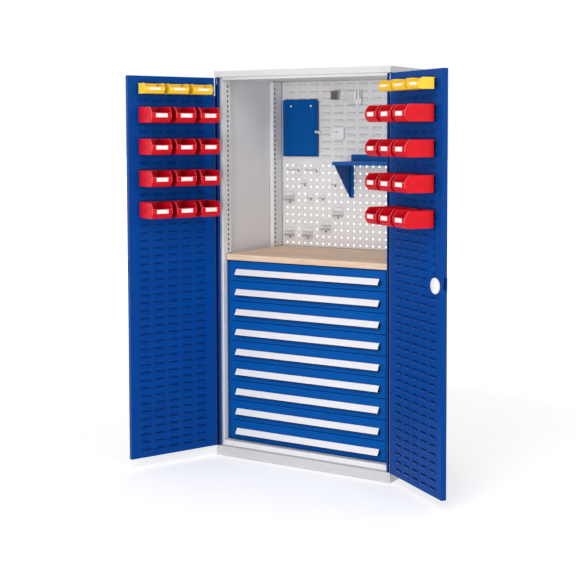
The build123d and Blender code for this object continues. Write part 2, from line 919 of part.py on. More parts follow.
def lock_handle():
    """The knob with its grip bar outside and the square spindle through the door."""
    x = lock_from_edge
    z = lock_level
    gap = 0.3
    knob = rod_along_y(x, -knob_height - gap, -gap, z, knob_radius)
    y1 = -knob_height - gap
    grip = slab(x - grip_width / 2, x + grip_width / 2, y1 - grip_height, y1,
                z - grip_length / 2, z + grip_length / 2)
    s = spindle_side / 2
    spindle = slab(x - s, x + s, -gap, cam_depth + cam_sheet, z - s, z + s)
    return joined([knob, grip, spindle])


def pin_place(angle):
    """Where a pin of the cam stands at rest."""
    turn = math.radians(angle)
    return (lock_from_edge + cam_pin_orbit * math.cos(turn), lock_level + cam_pin_orbit * math.sin(turn))


def lock_cam():
    """The cam on the spindle: a long arm that latches the doors and two pins that drive the rods."""
    x = lock_from_edge
    z = lock_level
    y0 = cam_depth
    y1 = cam_depth + cam_sheet
    disc = rod_along_y(x, y0, y1, z, cam_radius)
    arm = slab(x - cam_arm_width / 2, x + cam_arm_width / 2, y0, y1, z, z + cam_arm)
    pins = []
    for angle in (-135, 45):
        px, pz = pin_place(angle)
        pins.append(rod_along_y(px, y0, rod_depth + rod_sheet, pz, cam_pin_radius))
    s = spindle_side / 2
    cam = joined([disc, arm, *pins])
    return cam.cut(slab(x - s, x + s, y0 - 1, y1 + 1, z - s, z + s))


def lock_rod(up):
    """A flat rod from the cam to one end of the door, with a cross slot for the cam's pin.

    Its leg beside the spindle carries the slot, so the two rods pass each other.
    """
    side = -1 if up else 1
    px, pz = pin_place(-135 if up else 45)
    y0 = rod_depth
    y1 = rod_depth + rod_sheet
    x = lock_from_edge
    end = door_top - rod_end_gap if up else door_bottom + rod_end_gap
    reach = cam_pin_orbit + cam_pin_radius + 2 * rod_slot_play
    near = cam_pin_orbit * math.cos(math.radians(45)) - cam_pin_radius - 2 * rod_slot_play
    start = lock_level - side * rod_clear_centre
    z_low, z_high = sorted((start, end))
    bar = slab(x - rod_width / 2, x + rod_width / 2, y0, y1, z_low, z_high)
    x_low, x_high = sorted((x + side * rod_leg_gap, x + side * (reach + rod_sheet)))
    foot = pz + side * rod_plate_height / 2
    head = start - side * rod_width
    leg_low, leg_high = sorted((foot, head))
    leg = slab(x_low, x_high, y0, y1, leg_low, leg_high)
    s_low, s_high = sorted((x + side * near, x + side * reach))
    half_slot = cam_pin_radius + rod_slot_play
    slot = slab(s_low, s_high, y0 - 1, y1 + 1, pz - half_slot, pz + half_slot)
    return joined([bar, leg]).cut(slot)


def rod_guides():
    """Four bridges that hold the rods to the door's face."""
    x = lock_from_edge
    levels = [lock_level + guide_from_lock, door_top - guide_from_end,
              lock_level - guide_from_lock, door_bottom + guide_from_end]
    guides = []
    for z in levels:
        z0 = z - guide_width / 2
        z1 = z + guide_width / 2
        dx = rod_width / 2 + guide_play
        y0 = door_sheet
        y1 = rod_depth - guide_play
        y2 = rod_depth + rod_sheet + guide_play
        block = slab(x - dx - guide_sheet, x + dx + guide_sheet, y0, y2 + guide_sheet, z0, z1)
        guides.append(block.cut(slab(x - dx, x + dx, y1, y2, z0, z1)))
    return guides


# ---- accessories on the tool wall ----
def hole_x(column):
    """Middle of a column of holes, counted from the left."""
    return spread(wall_hole_columns, pitch)[column]


def hole_z(row):
    """Middle of a row of holes, counted from the top."""
    return wall_hole_top - row * pitch


def louvre_x(column):
    """Middle of a column of wall louvres, counted from the left."""
    return spread(wall_louvre_columns, louvre_pitch_across)[column]


def has_room(column, row):
    """Whether a fitting fits on the grid here, left of the shelf's bracket."""
    return column + 2 < shelf_first_column + 1 and row + 1 < wall_hole_rows


def wall_peg(x, z):
    """A square peg through a hole of the wall, turned up behind it."""
    s = peg_side / 2
    back_face = wall_front + sheet
    through = slab(x - s, x + s, wall_front, back_face + 2 * sheet, z - s, z)
    up = slab(x - s, x + s, back_face + 0.3, back_face + 2 * sheet, z - s, z + peg_lift)
    return joined([through, up])


def plate_outline(x, z0, z1, plate_width):
    """Corners of an upright plate with its four corners cut."""
    c = hook_corner
    half_plate = plate_width / 2
    right = [(x + half_plate, z0 + c), (x + half_plate, z1 - c), (x + half_plate - c, z1)]
    left = [(x - half_plate + c, z1), (x - half_plate, z1 - c), (x - half_plate, z0 + c)]
    return [(x + half_plate - c, z0), *right, *left, (x - half_plate + c, z0)]


def hook_plate(x, row_z, plate_width, z0, z1, peg_offsets):
    """A plate on the wall, hung from pegs in the row of holes at its upper end."""
    points = [(px, wall_front - fitting_sheet, pz) for px, pz in plate_outline(x, z0, z1, plate_width)]
    pieces = [Solid.extrude(panel_face(points), Vector(0, fitting_sheet, 0))]
    s = peg_side / 2
    y0 = wall_front - fitting_sheet
    for dx in peg_offsets:
        pieces.append(slab(x + dx - s, x + dx + s, y0, wall_front, z1 - hook_corner, row_z))
        pieces.append(wall_peg(x + dx, row_z))
    return pieces


def narrow_plate(x, row_z):
    z1 = row_z - hook_plate_drop
    return hook_plate(x, row_z, hook_plate_width, z1 - hook_plate_height, z1, (0,))


def wire(start, direction, length):
    """A straight round wire from a point along X, Y or Z."""
    return Solid.make_cylinder(hook_wire / 2, length, Plane(start, z_dir=direction))


def wire_ball(x, y, z):
    """The rounded bend between two wires."""
    return Solid.make_sphere(hook_wire / 2, angle1=-90, angle2=90, angle3=360).moved(Location((x, y, z)))


def long_hook_places():
    return [(hole_x(column), hole_z(0)) for column in (2, 5) if has_room(column, 0)]


def long_hooks():
    """Two straight wire hooks with turned-up tips."""
    hooks = []
    for x, row_z in long_hook_places():
        z = row_z - plug_drop + plug_radius + hook_wire
        y1 = wall_front - fitting_sheet
        y0 = y1 - long_hook_reach
        pieces = narrow_plate(x, row_z)
        pieces.append(wire((x, y0, z), (0, 1, 0), long_hook_reach))
        pieces.append(wire_ball(x, y0, z))
        pieces.append(wire((x, y0, z), (0, 0, 1), hook_tip))
        hooks.append(joined(pieces))
    return hooks


def small_clip_places():
    cells = [(3, 2), (8, 2), (4, 4), (6, 4)]
    return [(hole_x(column), hole_z(row)) for column, row in cells if has_room(column, row)]


def small_clips():
    """Clips with two short wire prongs that hold one tool."""
    clips = []
    for x, row_z in small_clip_places():
        pieces = narrow_plate(x, row_z)
        z = row_z - plug_drop + plug_radius + hook_wire
        y1 = wall_front - fitting_sheet
        for side in (-1, 1):
            px = x + side * clip_spread / 2
            pieces.append(wire((px, y1 - clip_reach, z), (0, 1, 0), clip_reach))
            pieces.append(wire_ball(px, y1 - clip_reach, z))
            pieces.append(wire((px, y1 - clip_reach, z), (0, 0, 1), clip_prong))
        clips.append(joined(pieces))
    return clips


def wide_clip_places():
    cells = [(0, 4), (8, 6), (6, 8), (0, 9), (3, 9)]
    return [(hole_x(column) + pitch / 2, hole_z(row)) for column, row in cells if has_room(column, row)]


def wide_clips():
    """Wide holders: a folded ledge with a raised front edge, and a thin rib above it."""
    clips = []
    for x, row_z in wide_clip_places():
        z1 = row_z + wide_plate_rise
        pieces = hook_plate(x, row_z, wide_plate_width, z1 - wide_plate_height, z1, (-pitch / 2, pitch / 2))
        y1 = wall_front - fitting_sheet
        y0 = y1 - clip_reach
        x0 = x - wide_plate_width / 2
        x1 = x + wide_plate_width / 2
        t = fitting_sheet
        z_ledge = row_z - wide_bar_drop - wide_bar_height / 2
        pieces.append(slab(x0, x1, y0, y1, z_ledge, z_ledge + t))
        pieces.append(slab(x0, x1, y0, y0 + t, z_ledge + t, z_ledge + wide_bar_height))
        z_rib = row_z - wide_rib_drop
        pieces.append(slab(x0, x1, y1 - clip_reach / 2, y1, z_rib, z_rib + wide_rib_height))
        clips.append(joined(pieces))
    return clips


def hook_locks():
    """The small round plugs that hold each fitting against the wall."""
    places = [(x, z - plug_drop) for x, z in long_hook_places() + small_clip_places()]
    places += [(x, z - wide_plug_drop) for x, z in wide_clip_places()]
    y1 = wall_front - fitting_sheet
    return [rod_along_y(x, y1 - plug_depth, y1, z, plug_radius) for x, z in places]


def louvre_hook(x, top, hook_width, y_plate):
    """A lip that drops into a wall louvre from above and reaches out to a plate."""
    y_lip = wall_front - bin_standoff
    x0 = x - hook_width / 2
    x1 = x + hook_width / 2
    bridge = slab(x0, x1, y_plate, y_lip, top - louvre_lip, top)
    drop = slab(x0, x1, y_lip - bin_wall, y_lip, top - bin_hook_drop, top)
    return [bridge, drop]


def board_left():
    return -inner_half + board_side_gap


def board_top():
    return wall_louvre_tops()[board_hook_row] + board_above_hook


def fitting_back():
    """Where the plates of fittings lie that hang in the louvres."""
    return wall_front - louvre_proud - bin_standoff


def board_plan(x0, x1, y1):
    """Plan outline of the board's sheet: flat in the middle, a folded hollow rim on both sides."""
    t = board_sheet
    y0 = y1 - board_rim
    w = board_rim_width
    c = board_crest
    outer = [(x0, y1), (x0, y0), (x0 + c, y0), (x0 + w, y1 - t),
             (x1 - w, y1 - t), (x1 - c, y0), (x1, y0), (x1, y1)]
    inner = [(x1 - t, y1), (x1 - t, y0 + t), (x1 - c, y0 + t), (x1 - w, y1),
             (x0 + w, y1), (x0 + c, y0 + t), (x0 + t, y0 + t), (x0 + t, y1)]
    return outer + inner


def corner_cut(x, z, side, y0, y1):
    """A wedge that takes the upper corner off the board."""
    c = board_corner
    points = [(x + side, y0, z + 1), (x - side * c, y0, z + 1), (x - side * c, y0, z), (x, y0, z - c),
              (x + side, y0, z - c)]
    return Solid.extrude(panel_face(points), Vector(0, y1 - y0, 0))


def document_board():
    """A board for sheets with folded rims and two fixing studs, hung in the louvres."""
    x0 = board_left()
    x1 = x0 + board_width
    z1 = board_top()
    z0 = z1 - board_height
    y1 = fitting_back()
    t = board_sheet
    sheet_body = plan_prism(board_plan(x0, x1, y1), z0, z1)
    cuts = [corner_cut(x, z1, side, y1 - board_rim - 1, y1 + 1) for x, side in ((x0, -1), (x1, 1))]
    w = board_rim_width
    lip = slab(x0 + w, x1 - w, y1 - t - board_lip, y1 - t, z0, z0 + t)
    pieces = [sheet_body.cut(*cuts), lip]
    for x in (x0 + board_stud_inset, x1 - board_stud_inset):
        pieces.append(rod_along_y(x, y1 - 2 * t - 1, y1 - t, z1 - board_stud_drop, board_stud_radius))
    for column in (0, 2):
        pieces += louvre_hook(louvre_x(column), wall_louvre_tops()[board_hook_row], pitch, y1)
    return joined(pieces)


def holder_left():
    return louvre_x(holder_column) - holder_offset


def holder_right():
    return holder_left() + holder_width


def clamp_holder():
    """A ribbed clamp block and two upright clips on a hanging plate, with a folded tail below."""
    x0 = holder_left()
    x1 = holder_right()
    z1 = wall_louvre_tops()[holder_row]
    z0 = z1 - holder_height
    y1 = fitting_back()
    t = board_sheet
    y_face = y1 - t
    y_front = y_face - holder_block_depth
    pieces = [slab(x0, x1, y_face, y1, z0, z1)]
    pieces.append(slab(x0, x0 + holder_block, y_front, y_face, z0, z1))
    for i in range(4):
        z = z0 + (i + 0.5) * holder_height / 4
        pieces.append(slab(x0 - holder_rib, x0 + holder_block, y_front - holder_rib, y_face,
                           z - holder_rib / 2, z + holder_rib / 2))
    pieces.append(slab(x0 + holder_block, x1 - 5 * holder_clip, y_face - holder_block_depth / 2, y_face,
                       z1 - holder_rib, z1))
    for i in (1, 3):
        x = x1 - i * holder_clip - holder_clip / 2
        pieces.append(slab(x, x + holder_clip, y_front, y_face, z0, z1))
    x_tail = x1 - holder_tail_width
    z_tail = z0 - holder_tail_height
    pieces.append(slab(x_tail, x1, y_face, y1, z_tail, z0))
    pieces.append(slab(x_tail, x1, y_face - holder_tail_lip, y_face, z_tail, z_tail + 2 * t))
    for column in range(wall_louvre_columns):
        if x0 + pitch / 2 < louvre_x(column) < x1 - pitch / 2:
            pieces += louvre_hook(louvre_x(column), z1, pitch, y1)
    return joined(pieces)


def rod_holder():
    """A folded plate in the louvres, with an arm that holds a pad over the board's rim."""
    t = board_sheet
    x0 = louvre_x(rod_plate_column) - rod_plate_offset
    x1 = x0 + rod_plate_width
    z1 = wall_louvre_tops()[rod_plate_row]
    z0 = z1 - rod_plate_drop
    y1 = fitting_back()
    y0 = y1 - rod_plate_fold
    pieces = [slab(x0, x1, y1 - t, y1, z0, z1)]
    pieces.append(slab(x0, x1, y0, y1 - t, z0, z0 + t))
    pieces.append(slab(x0, x1, y0, y0 + t, z0 + t, z0 + board_lip))
    pieces.append(slab(x0, x1, y0 + rod_plate_fold / 2, y1 - t, z1 - t, z1))
    pieces += louvre_hook(louvre_x(rod_plate_column), z1, pitch, y1)
    z_arm = z1 - arm_drop
    y_arm = y1 - board_rim - arm_pad_radius - arm_clearance
    x_pad = x0 - arm_reach
    bar_length = arm_reach + rod_plate_width / 2
    pieces.append(Solid.make_cylinder(arm_radius, bar_length, Plane((x_pad, y_arm, z_arm), z_dir=(1, 0, 0))))
    x_post = x_pad + bar_length
    pieces.append(Solid.make_cylinder(2 * arm_radius, y1 - y_arm + arm_radius - t / 2,
                                      Plane((x_post, y_arm - arm_radius, z_arm), z_dir=(0, 1, 0))))
    ball = Solid.make_sphere(arm_ball_radius, angle1=-90, angle2=90, angle3=360)
    pieces.append(ball.moved(Location((x_pad + arm_pad_length, y_arm, z_arm))))
    pieces.append(Solid.make_cylinder(arm_pad_radius, arm_pad_length,
                                      Plane((x_pad - arm_pad_length, y_arm, z_arm), z_dir=(1, 0, 0))))
    return joined(pieces)


def bracket_left():
    """The brackets stand midway between two columns of holes."""
    return hole_x(shelf_first_column) + pitch / 2


def shelf_left():
    return bracket_left() + bracket_inset


def wall_shelf():
    x0 = shelf_left()
    x1 = x0 + shelf_width
    t = shelf_sheet
    y1 = fitting_back()
    y0 = y1 - shelf_depth
    plate = slab(x0, x1, y0, y1, shelf_level - t, shelf_level)
    lip = slab(x0, x1, y0, y0 + t, shelf_level - shelf_lip, shelf_level - t)
    upstand = slab(x0, x1, y1 - t, y1, shelf_level, shelf_level + shelf_upstand)
    return joined([plate, lip, upstand])


def shelf_brackets():
    """Two triangular brackets with lugs whose pegs sit in the perforated wall."""
    z1 = shelf_level - shelf_sheet
    z0 = z1 - bracket_height
    t = bracket_sheet
    outline = [(wall_front, z1), (wall_front - bracket_depth, z1), (wall_front - bracket_depth, z1 - t),
               (wall_front - bracket_toe, z0), (wall_front, z0)]
    brackets = []
    for step in (0, shelf_column_span):
        x0 = bracket_left() + step * pitch
        x1 = x0 + bracket_flange
        peg_x = x0 - pitch / 2
        pieces = [side_prism(outline, x0, x0 + t)]
        pieces.append(slab(x0 + t, x1, wall_front - t, wall_front, z0, z1 - t))
        pieces.append(slab(x0 + t, x1, wall_front - bracket_depth, wall_front, z1 - t, z1))
        for row in (0, 3):
            z = hole_z(row)
            lug = bracket_lug_height / 2
            pieces.append(slab(peg_x - peg_side, x0, wall_front - t, wall_front, z - lug, z + lug))
            pieces.append(wall_peg(peg_x, z))
        brackets.append(joined(pieces))
    return brackets


# ---- writing the pieces ----
def write(name, shape):
    """Writes one node. A list holds separate solids of the same kind."""
    if isinstance(shape, (list, tuple)):
        shape = Compound(children=list(shape))
    export_step(shape, os.path.join("parts", name + ".step"))


def root_nodes():
    return {
        "side_panels": side_panels(), "top_cover": top_cover(), "ceiling_panel": ceiling_panel(),
        "floor_panel": floor_panel(), "plinth": plinth(), "front_posts": front_posts(),
        "rear_posts": rear_posts(), "back_panel": back_panel(), "louvred_wall": louvred_wall(),
        "perforated_wall": perforated_wall(), "worktop": worktop(), "housing_sides": housing_sides(),
        "housing_plates": housing_plates(), "drawer_runners": drawer_runners(),
        "hinge_bushes": hinge_bushes(), "document_board": document_board(),
        "clamp_holder": clamp_holder(), "rod_holder": rod_holder(), "wall_shelf": wall_shelf(),
        "shelf_brackets": shelf_brackets(), "long_hooks": long_hooks(), "small_clips": small_clips(),
        "wide_clips": wide_clips(), "hook_locks": hook_locks(),
    }


def door_nodes():
    nodes = {}
    groups = {"pins": hinge_pins(), "yellow_bins": yellow_bins(), "red_bins": red_bins(),
              "label_cards": label_cards()}
    for side, hung, has_lock in (("left", hung_left, False), ("right", hung_right, True)):
        nodes["door_" + side + "_shell"] = hung(door_shell(has_lock))
        nodes["door_" + side + "_panel"] = hung(door_panel(has_lock))
        for name, solids in groups.items():
            nodes["door_" + side + "_" + name] = [hung(solid) for solid in solids]
    nodes["rod_guides"] = [hung_right(guide) for guide in rod_guides()]
    nodes["lock_cover_disc"] = hung_right(lock_cover_disc())
    nodes["lock_handle"] = hung_right(lock_handle())
    nodes["lock_cam"] = hung_right(lock_cam())
    nodes["lock_rod_upper"] = hung_right(lock_rod(True))
    nodes["lock_rod_lower"] = hung_right(lock_rod(False))
    return nodes


def drawer_nodes():
    nodes = {}
    for i in range(drawer_count):
        nodes["drawer_%d" % (i + 1)] = drawer(i)
        nodes["drawer_%d_handle" % (i + 1)] = drawer_handle(i)
    return nodes


os.makedirs("parts", exist_ok=True)
for name, shape in {**root_nodes(), **door_nodes(), **drawer_nodes()}.items():
    write(name, shape)
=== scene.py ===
import json
import math
from collections import namedtuple

import bmesh
import bpy
from mathutils import Matrix, Vector


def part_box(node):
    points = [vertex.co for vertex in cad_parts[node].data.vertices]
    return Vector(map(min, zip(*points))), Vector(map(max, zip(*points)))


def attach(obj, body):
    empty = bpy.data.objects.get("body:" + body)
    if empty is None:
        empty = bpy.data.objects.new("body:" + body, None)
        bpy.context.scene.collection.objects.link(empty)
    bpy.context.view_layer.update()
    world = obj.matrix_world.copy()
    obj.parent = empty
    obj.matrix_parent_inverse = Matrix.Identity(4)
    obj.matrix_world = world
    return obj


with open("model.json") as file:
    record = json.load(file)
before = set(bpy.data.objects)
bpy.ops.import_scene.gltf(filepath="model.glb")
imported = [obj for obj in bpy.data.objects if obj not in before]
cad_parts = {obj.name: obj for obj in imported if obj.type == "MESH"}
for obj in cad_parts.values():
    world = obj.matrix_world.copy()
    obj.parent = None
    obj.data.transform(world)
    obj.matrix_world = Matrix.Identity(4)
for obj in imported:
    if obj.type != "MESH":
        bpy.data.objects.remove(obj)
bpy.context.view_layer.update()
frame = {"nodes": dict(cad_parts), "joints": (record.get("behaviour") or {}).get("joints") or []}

# A tool cabinet with two open doors. The CAD parts get their materials here, and small mouldings, rivets and
# caps are added to them, with dark pieces as painted shade in the post slots and at the grips. Lengths are in
# metres: X to the right, Y to the back, Z up.

NODES = frame["nodes"]
JOINTS = {joint["name"]: joint for joint in frame["joints"]}
SIDES = ("left", "right")

# ---- sizes shared with the CAD parts ----
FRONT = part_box("plinth")[0].y
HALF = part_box("plinth")[1].x
SIDE_SKIN = HALF - 0.0007
WALL = FRONT + 0.572
FITTING = WALL - 0.0075
HINGE_EDGE = 0.498
DOOR_SEAT = 0.025
LOCK_X = 0.445
LOCK_Z = 0.983
DRAWERS = 9
DRAWER_FRONT = FRONT + 0.057

# ---- bins: size in side view, and how far the card's edges lie below the bin's top ----
Bin = namedtuple("Bin", "depth height turn front cut card_low card_high")
RED_BIN = Bin(depth=0.144, height=0.075, turn=0.024, front=0.046, cut=0.022,
              card_low=0.0495, card_high=0.0315)
YELLOW_BIN = Bin(depth=0.075, height=0.050, turn=0.017, front=0.031, cut=0.015,
                 card_low=0.032, card_high=0.0215)
BIN_COLUMNS = [0.138, 0.268, 0.398]
BIN_BACK = 0.0405
BIN_WIDTH = 0.102
CARD_HALF = 0.030
PITCH = 0.038
LOUVRE_FOOT = 0.093
YELLOW_ROW = 47
RED_ROWS = [44, 40, 36, 32]
YELLOW_TOP = LOUVRE_FOOT + YELLOW_ROW * PITCH
RED_TOPS = [LOUVRE_FOOT + row * PITCH for row in RED_ROWS]


# ---------------------------------------------------------------- materials
class Nodes:
    """A small helper round one material's node tree."""

    # sockets of a Mix node that mixes colours
    FACTOR, FIRST, SECOND, RESULT = 0, 6, 7, 2

    def __init__(self, name):
        self.material = bpy.data.materials.new(name)
        self.material.use_nodes = True
        self.tree = self.material.node_tree
        self.shader = self.tree.nodes["Principled BSDF"]
        self.coords = self.tree.nodes.new("ShaderNodeTexCoord").outputs["Object"]

    def new(self, kind, **values):
        node = self.tree.nodes.new(kind)
        for key, value in values.items():
            setattr(node, key, value)
        return node

    def link(self, a, b):
        self.tree.links.new(a, b)

    def feed(self, value, socket):
        """Links another node's output to a socket, or sets the socket to a plain value."""
        if isinstance(value, bpy.types.NodeSocket):
            self.link(value, socket)
        else:
            socket.default_value = value

    def math(self, operation, a, b=None):
        node = self.new("ShaderNodeMath", operation=operation)
        self.feed(a, node.inputs[0])
        if b is not None:
            self.feed(b, node.inputs[1])
        return node.outputs[0]

    def stretched(self, scale):
        """Object coordinates stretched by a scale on each axis."""
        mapping = self.new("ShaderNodeMapping")
        mapping.inputs["Scale"].default_value = scale
        self.link(self.coords, mapping.inputs["Vector"])
        return mapping.outputs["Vector"]

    def noise(self, scale, detail=2.0, rough=0.5, vector=None, distortion=0.0):
        node = self.new("ShaderNodeTexNoise")
        node.inputs["Scale"].default_value = scale
        node.inputs["Detail"].default_value = detail
        node.inputs["Roughness"].default_value = rough
        node.inputs["Distortion"].default_value = distortion
        self.link(vector or self.coords, node.inputs["Vector"])
        return node.outputs["Fac"]

    def ramp(self, value, stops):
        node = self.new("ShaderNodeValToRGB")
        elements = node.color_ramp.elements
        while len(elements) < len(stops):
            elements.new(0.5)
        for element, (place, colour) in zip(elements, stops):
            element.position = place
            element.color = (*colour, 1)
        self.link(value, node.inputs["Fac"])
        return node.outputs["Color"]

    def remap(self, value, low, high, a=0.3, b=0.7):
        """A value that runs from low to high while the given one runs from a to b."""
        node = self.new("ShaderNodeMapRange")
        node.inputs["From Min"].default_value = a
        node.inputs["From Max"].default_value = b
        node.inputs["To Min"].default_value = low
        node.inputs["To Max"].default_value = high
        self.link(value, node.inputs["Value"])
        return node.outputs["Result"]

    def mix(self, factor, a, b, blend="MIX"):
        node = self.new("ShaderNodeMix", data_type="RGBA", blend_type=blend)
        self.feed(factor, node.inputs[self.FACTOR])
        self.link(a, node.inputs[self.FIRST])
        self.link(b, node.inputs[self.SECOND])
        return node.outputs[self.RESULT]

    def bump(self, value, strength, distance, below=None):
        node = self.new("ShaderNodeBump")
        node.inputs["Strength"].default_value = strength
        node.inputs["Distance"].default_value = distance
        self.link(value, node.inputs["Height"])
        if below:
            self.link(below, node.inputs["Normal"])
        return node.outputs["Normal"]

    def rounded(self, radius):
        """Normals as if the sharp edges had this radius."""
        node = self.new("ShaderNodeBevel", samples=4)
        node.inputs["Radius"].default_value = radius
        return node.outputs["Normal"]

    def flat(self):
        """The plain normal of the face."""
        return self.new("ShaderNodeNewGeometry").outputs["True Normal"]

    def edges(self, radius):
        """0 on flat faces, up to 1 close to an outer or inner edge."""
        dot = self.new("ShaderNodeVectorMath", operation="DOT_PRODUCT")
        self.link(self.rounded(radius), dot.inputs[0])
        self.link(self.flat(), dot.inputs[1])
        return self.remap(dot.outputs["Value"], 1.0, 0.0, 0.75, 0.98)

    def painted_crevice_shade(self, colour, dark, reach, low=0.35, high=0.95):
        """Painted shade that darkens openings, inner corners, gaps between parts and the spots under them."""
        node = self.new("ShaderNodeAmbientOcclusion", samples=3)
        node.inputs["Distance"].default_value = reach
        unshaded = self.remap(node.outputs["AO"], 0.0, 1.0, low, high)
        return self.mix(1.0, colour, self.ramp(unshaded, [(0.0, dark), (1.0, (1, 1, 1))]), blend="MULTIPLY")

    def along(self, axis, vector=None):
        """One object coordinate in metres, or one axis of another vector."""
        split = self.new("ShaderNodeSeparateXYZ")
        self.link(vector or self.coords, split.inputs[0])
        return split.outputs[axis]

    def between(self, value, low, high, blur=0.0004):
        """1 where the value lies between two limits, 0 elsewhere."""
        up = self.remap(value, 0.0, 1.0, low - blur, low + blur)
        down = self.remap(value, 1.0, 0.0, high - blur, high + blur)
        return self.math("MULTIPLY", up, down)

    def finish(self, colour, roughness, normal, metallic=0.0, specular=0.5):
        self.link(colour, self.shader.inputs["Base Color"])
        self.link(roughness, self.shader.inputs["Roughness"])
        self.link(normal, self.shader.inputs["Normal"])
        self.shader.inputs["Metallic"].default_value = metallic
        self.shader.inputs["Specular IOR Level"].default_value = specular
        return self.material


BLACK_WHITE = ((0, 0, 0), (1, 1, 1))


def linear(*display):
    """A display colour of 0 to 255 as linear light."""
    out = []
    for value in display:
        c = value / 255
        out.append(c / 12.92 if c <= 0.04045 else ((c + 0.055) / 1.055) ** 2.4)
    return tuple(out)


def shade(colour, factor, lift=0.0):
    return tuple(min(1.0, c * factor + lift) for c in colour)


def spread(places, colours):
    """The stops of a colour ramp."""
    return list(zip(places, colours))


def paint(name, display, rough=(0.38, 0.5), variation=0.05, edge=1.25, specular=0.25, radius=0.0012,
          shade_reach=None, outside=None):
    """Powder coat: faint cloudiness, orange peel, a few rubbed spots, a painted highlight on edges and, if
    given a reach, painted shade in corners.

    The outside colour, where one is given, is for the outer face of the cabinet's side walls; the inner face
    keeps the base colour, set lighter as painted light for the inside of the cabinet.
    """
    n = Nodes(name)
    base = linear(*display)
    clouds = n.noise(3.1, 4.0, 0.6)

    def cloudy(tone):
        return n.ramp(clouds, spread((0.3, 0.7), (shade(tone, 1 - variation), shade(tone, 1 + variation))))

    colour = cloudy(base)
    # Painted light: the inner faces keep the lighter grey, the outer faces take the darker one.
    if outside:
        inside = n.between(n.along("X"), -SIDE_SKIN, SIDE_SKIN)
        colour = n.mix(inside, cloudy(linear(*outside)), colour)
    worn = n.ramp(n.noise(38.0, 5.0, 0.7), spread((0.74, 0.9), BLACK_WHITE))
    dull = n.ramp(clouds, spread((0.0, 1.0), (shade(base, 0.93), shade(base, 0.93, lift=0.015))))
    colour = n.mix(worn, colour, dull)
    # Painted highlight: folded and cut edges are lightened by the edge factor.
    edge_highlight = n.ramp(clouds, spread((0.0, 1.0), (shade(base, edge), shade(base, edge, lift=0.01))))
    colour = n.mix(n.edges(radius), colour, edge_highlight)
    # Painted shade: darkens the paint in openings, inner corners, gaps and under grips.
    if shade_reach:
        colour = n.painted_crevice_shade(colour, (0.12, 0.12, 0.14), shade_reach)
    roughness = n.remap(n.noise(11.0, 3.0, 0.6), *rough)
    grain = n.bump(n.noise(620.0, 2.0, 0.5), 0.12, 0.0004, below=n.rounded(radius))
    waves = n.bump(n.noise(7.0, 1.0, 0.4), 0.06, 0.0015, below=grain)
    return n.finish(colour, roughness, waves, specular=specular)


def metal(name, display, rough=(0.28, 0.42), stretch=(6, 6, 160), metallic=1.0, swing=0.14):
    """Drawn or galvanised metal with fine streaks and a few darker spots."""
    n = Nodes(name)
    base = linear(*display)
    streaks = n.noise(8.0, 4.0, 0.65, vector=n.stretched(stretch))
    light = n.ramp(streaks, spread((0.25, 0.75), (shade(base, 1 - swing), shade(base, 1 + 0.4 * swing))))
    dark = n.ramp(streaks, spread((0.25, 0.75), (shade(base, 1 - 2 * swing), shade(base, 1 - swing))))
    spots = n.ramp(n.noise(55.0, 3.0, 0.6), spread((0.55, 0.75), BLACK_WHITE))
    normal = n.bump(streaks, 0.08, 0.0003, below=n.rounded(0.0006))
    return n.finish(n.mix(spots, light, dark), n.remap(streaks, *rough), normal, metallic=metallic)


def plastic(name, display, rough=(0.3, 0.42), variation=0.06, lift=0.0, specular=0.3, shade_reach=None):
    """Injection-moulded plastic: spark grain and faint flow clouds, with a painted highlight on thin edges
    and, if given a reach, painted shade in corners.
    """
    n = Nodes(name)
    base = linear(*display)
    flow = n.noise(14.0, 3.0, 0.55, distortion=0.6)
    colour = n.ramp(flow, spread((0.3, 0.7), (shade(base, 1 - variation), shade(base, 1 + variation))))
    # Painted highlight: thin edges are paler, raised by the lift.
    pale = shade(base, 1.0, lift)
    edge_highlight = n.ramp(flow, spread((0.2, 0.8), (shade(pale, 0.95), pale)))
    colour = n.mix(n.edges(0.0016), colour, edge_highlight)
    # Painted shade: darkens the plastic in openings and inner corners.
    if shade_reach:
        colour = n.painted_crevice_shade(colour, (0.42, 0.30, 0.30), shade_reach)
    roughness = n.remap(n.noise(45.0, 2.0), *rough)
    fine = n.bump(n.noise(950.0, 1.0), 0.1, 0.0002, below=n.rounded(0.0010))
    return n.finish(colour, roughness, fine, specular=specular)


def fitting_metal(name):
    """Zinc fittings: pale plates on the wall, and the wires and ledges in front of them in a darker tone of
    the same zinc, as painted shade.
    """
    n = Nodes(name)
    far_front = -1.0
    plate_face = WALL - 0.0026
    streaks = n.noise(30.0, 4.0, 0.6)
    plate = n.ramp(streaks, spread((0.25, 0.75), (linear(224, 224, 225), linear(236, 236, 237))))
    # Painted shade: the wires and ledges are the same zinc, set darker.
    shaded_wire = n.ramp(streaks, spread((0.25, 0.75), (linear(150, 150, 153), linear(186, 186, 189))))
    colour = n.mix(n.between(n.along("Y"), far_front, plate_face), plate, shaded_wire)
    normal = n.bump(streaks, 0.1, 0.0003, below=n.rounded(0.0005))
    return n.finish(colour, n.remap(streaks, 0.34, 0.5), normal, metallic=0.3)


def holder_material(name):
    """The clamp holder: a brown-grey ribbed block, a grey plate and two white clips."""
    n = Nodes(name)
    block_span = (-0.2, -0.1002)
    clip_spans = ((-0.0017, 0.0077), (0.0163, 0.0257))
    mottle = n.noise(60.0, 4.0, 0.6)
    plate = n.ramp(mottle, spread((0.3, 0.7), (linear(208, 209, 211), linear(222, 223, 225))))
    block = n.ramp(mottle, spread((0.3, 0.7), (linear(92, 84, 78), linear(128, 118, 112))))
    white = n.ramp(mottle, spread((0.3, 0.7), (linear(240, 240, 239), linear(250, 250, 249))))
    x = n.along("X")
    colour = n.mix(n.between(x, *block_span), plate, block)
    for span in clip_spans:
        colour = n.mix(n.between(x, *span), colour, white)
    normal = n.bump(mottle, 0.12, 0.0003, below=n.rounded(0.0008))
    return n.finish(colour, n.remap(mottle, 0.38, 0.52), normal, specular=0.3)


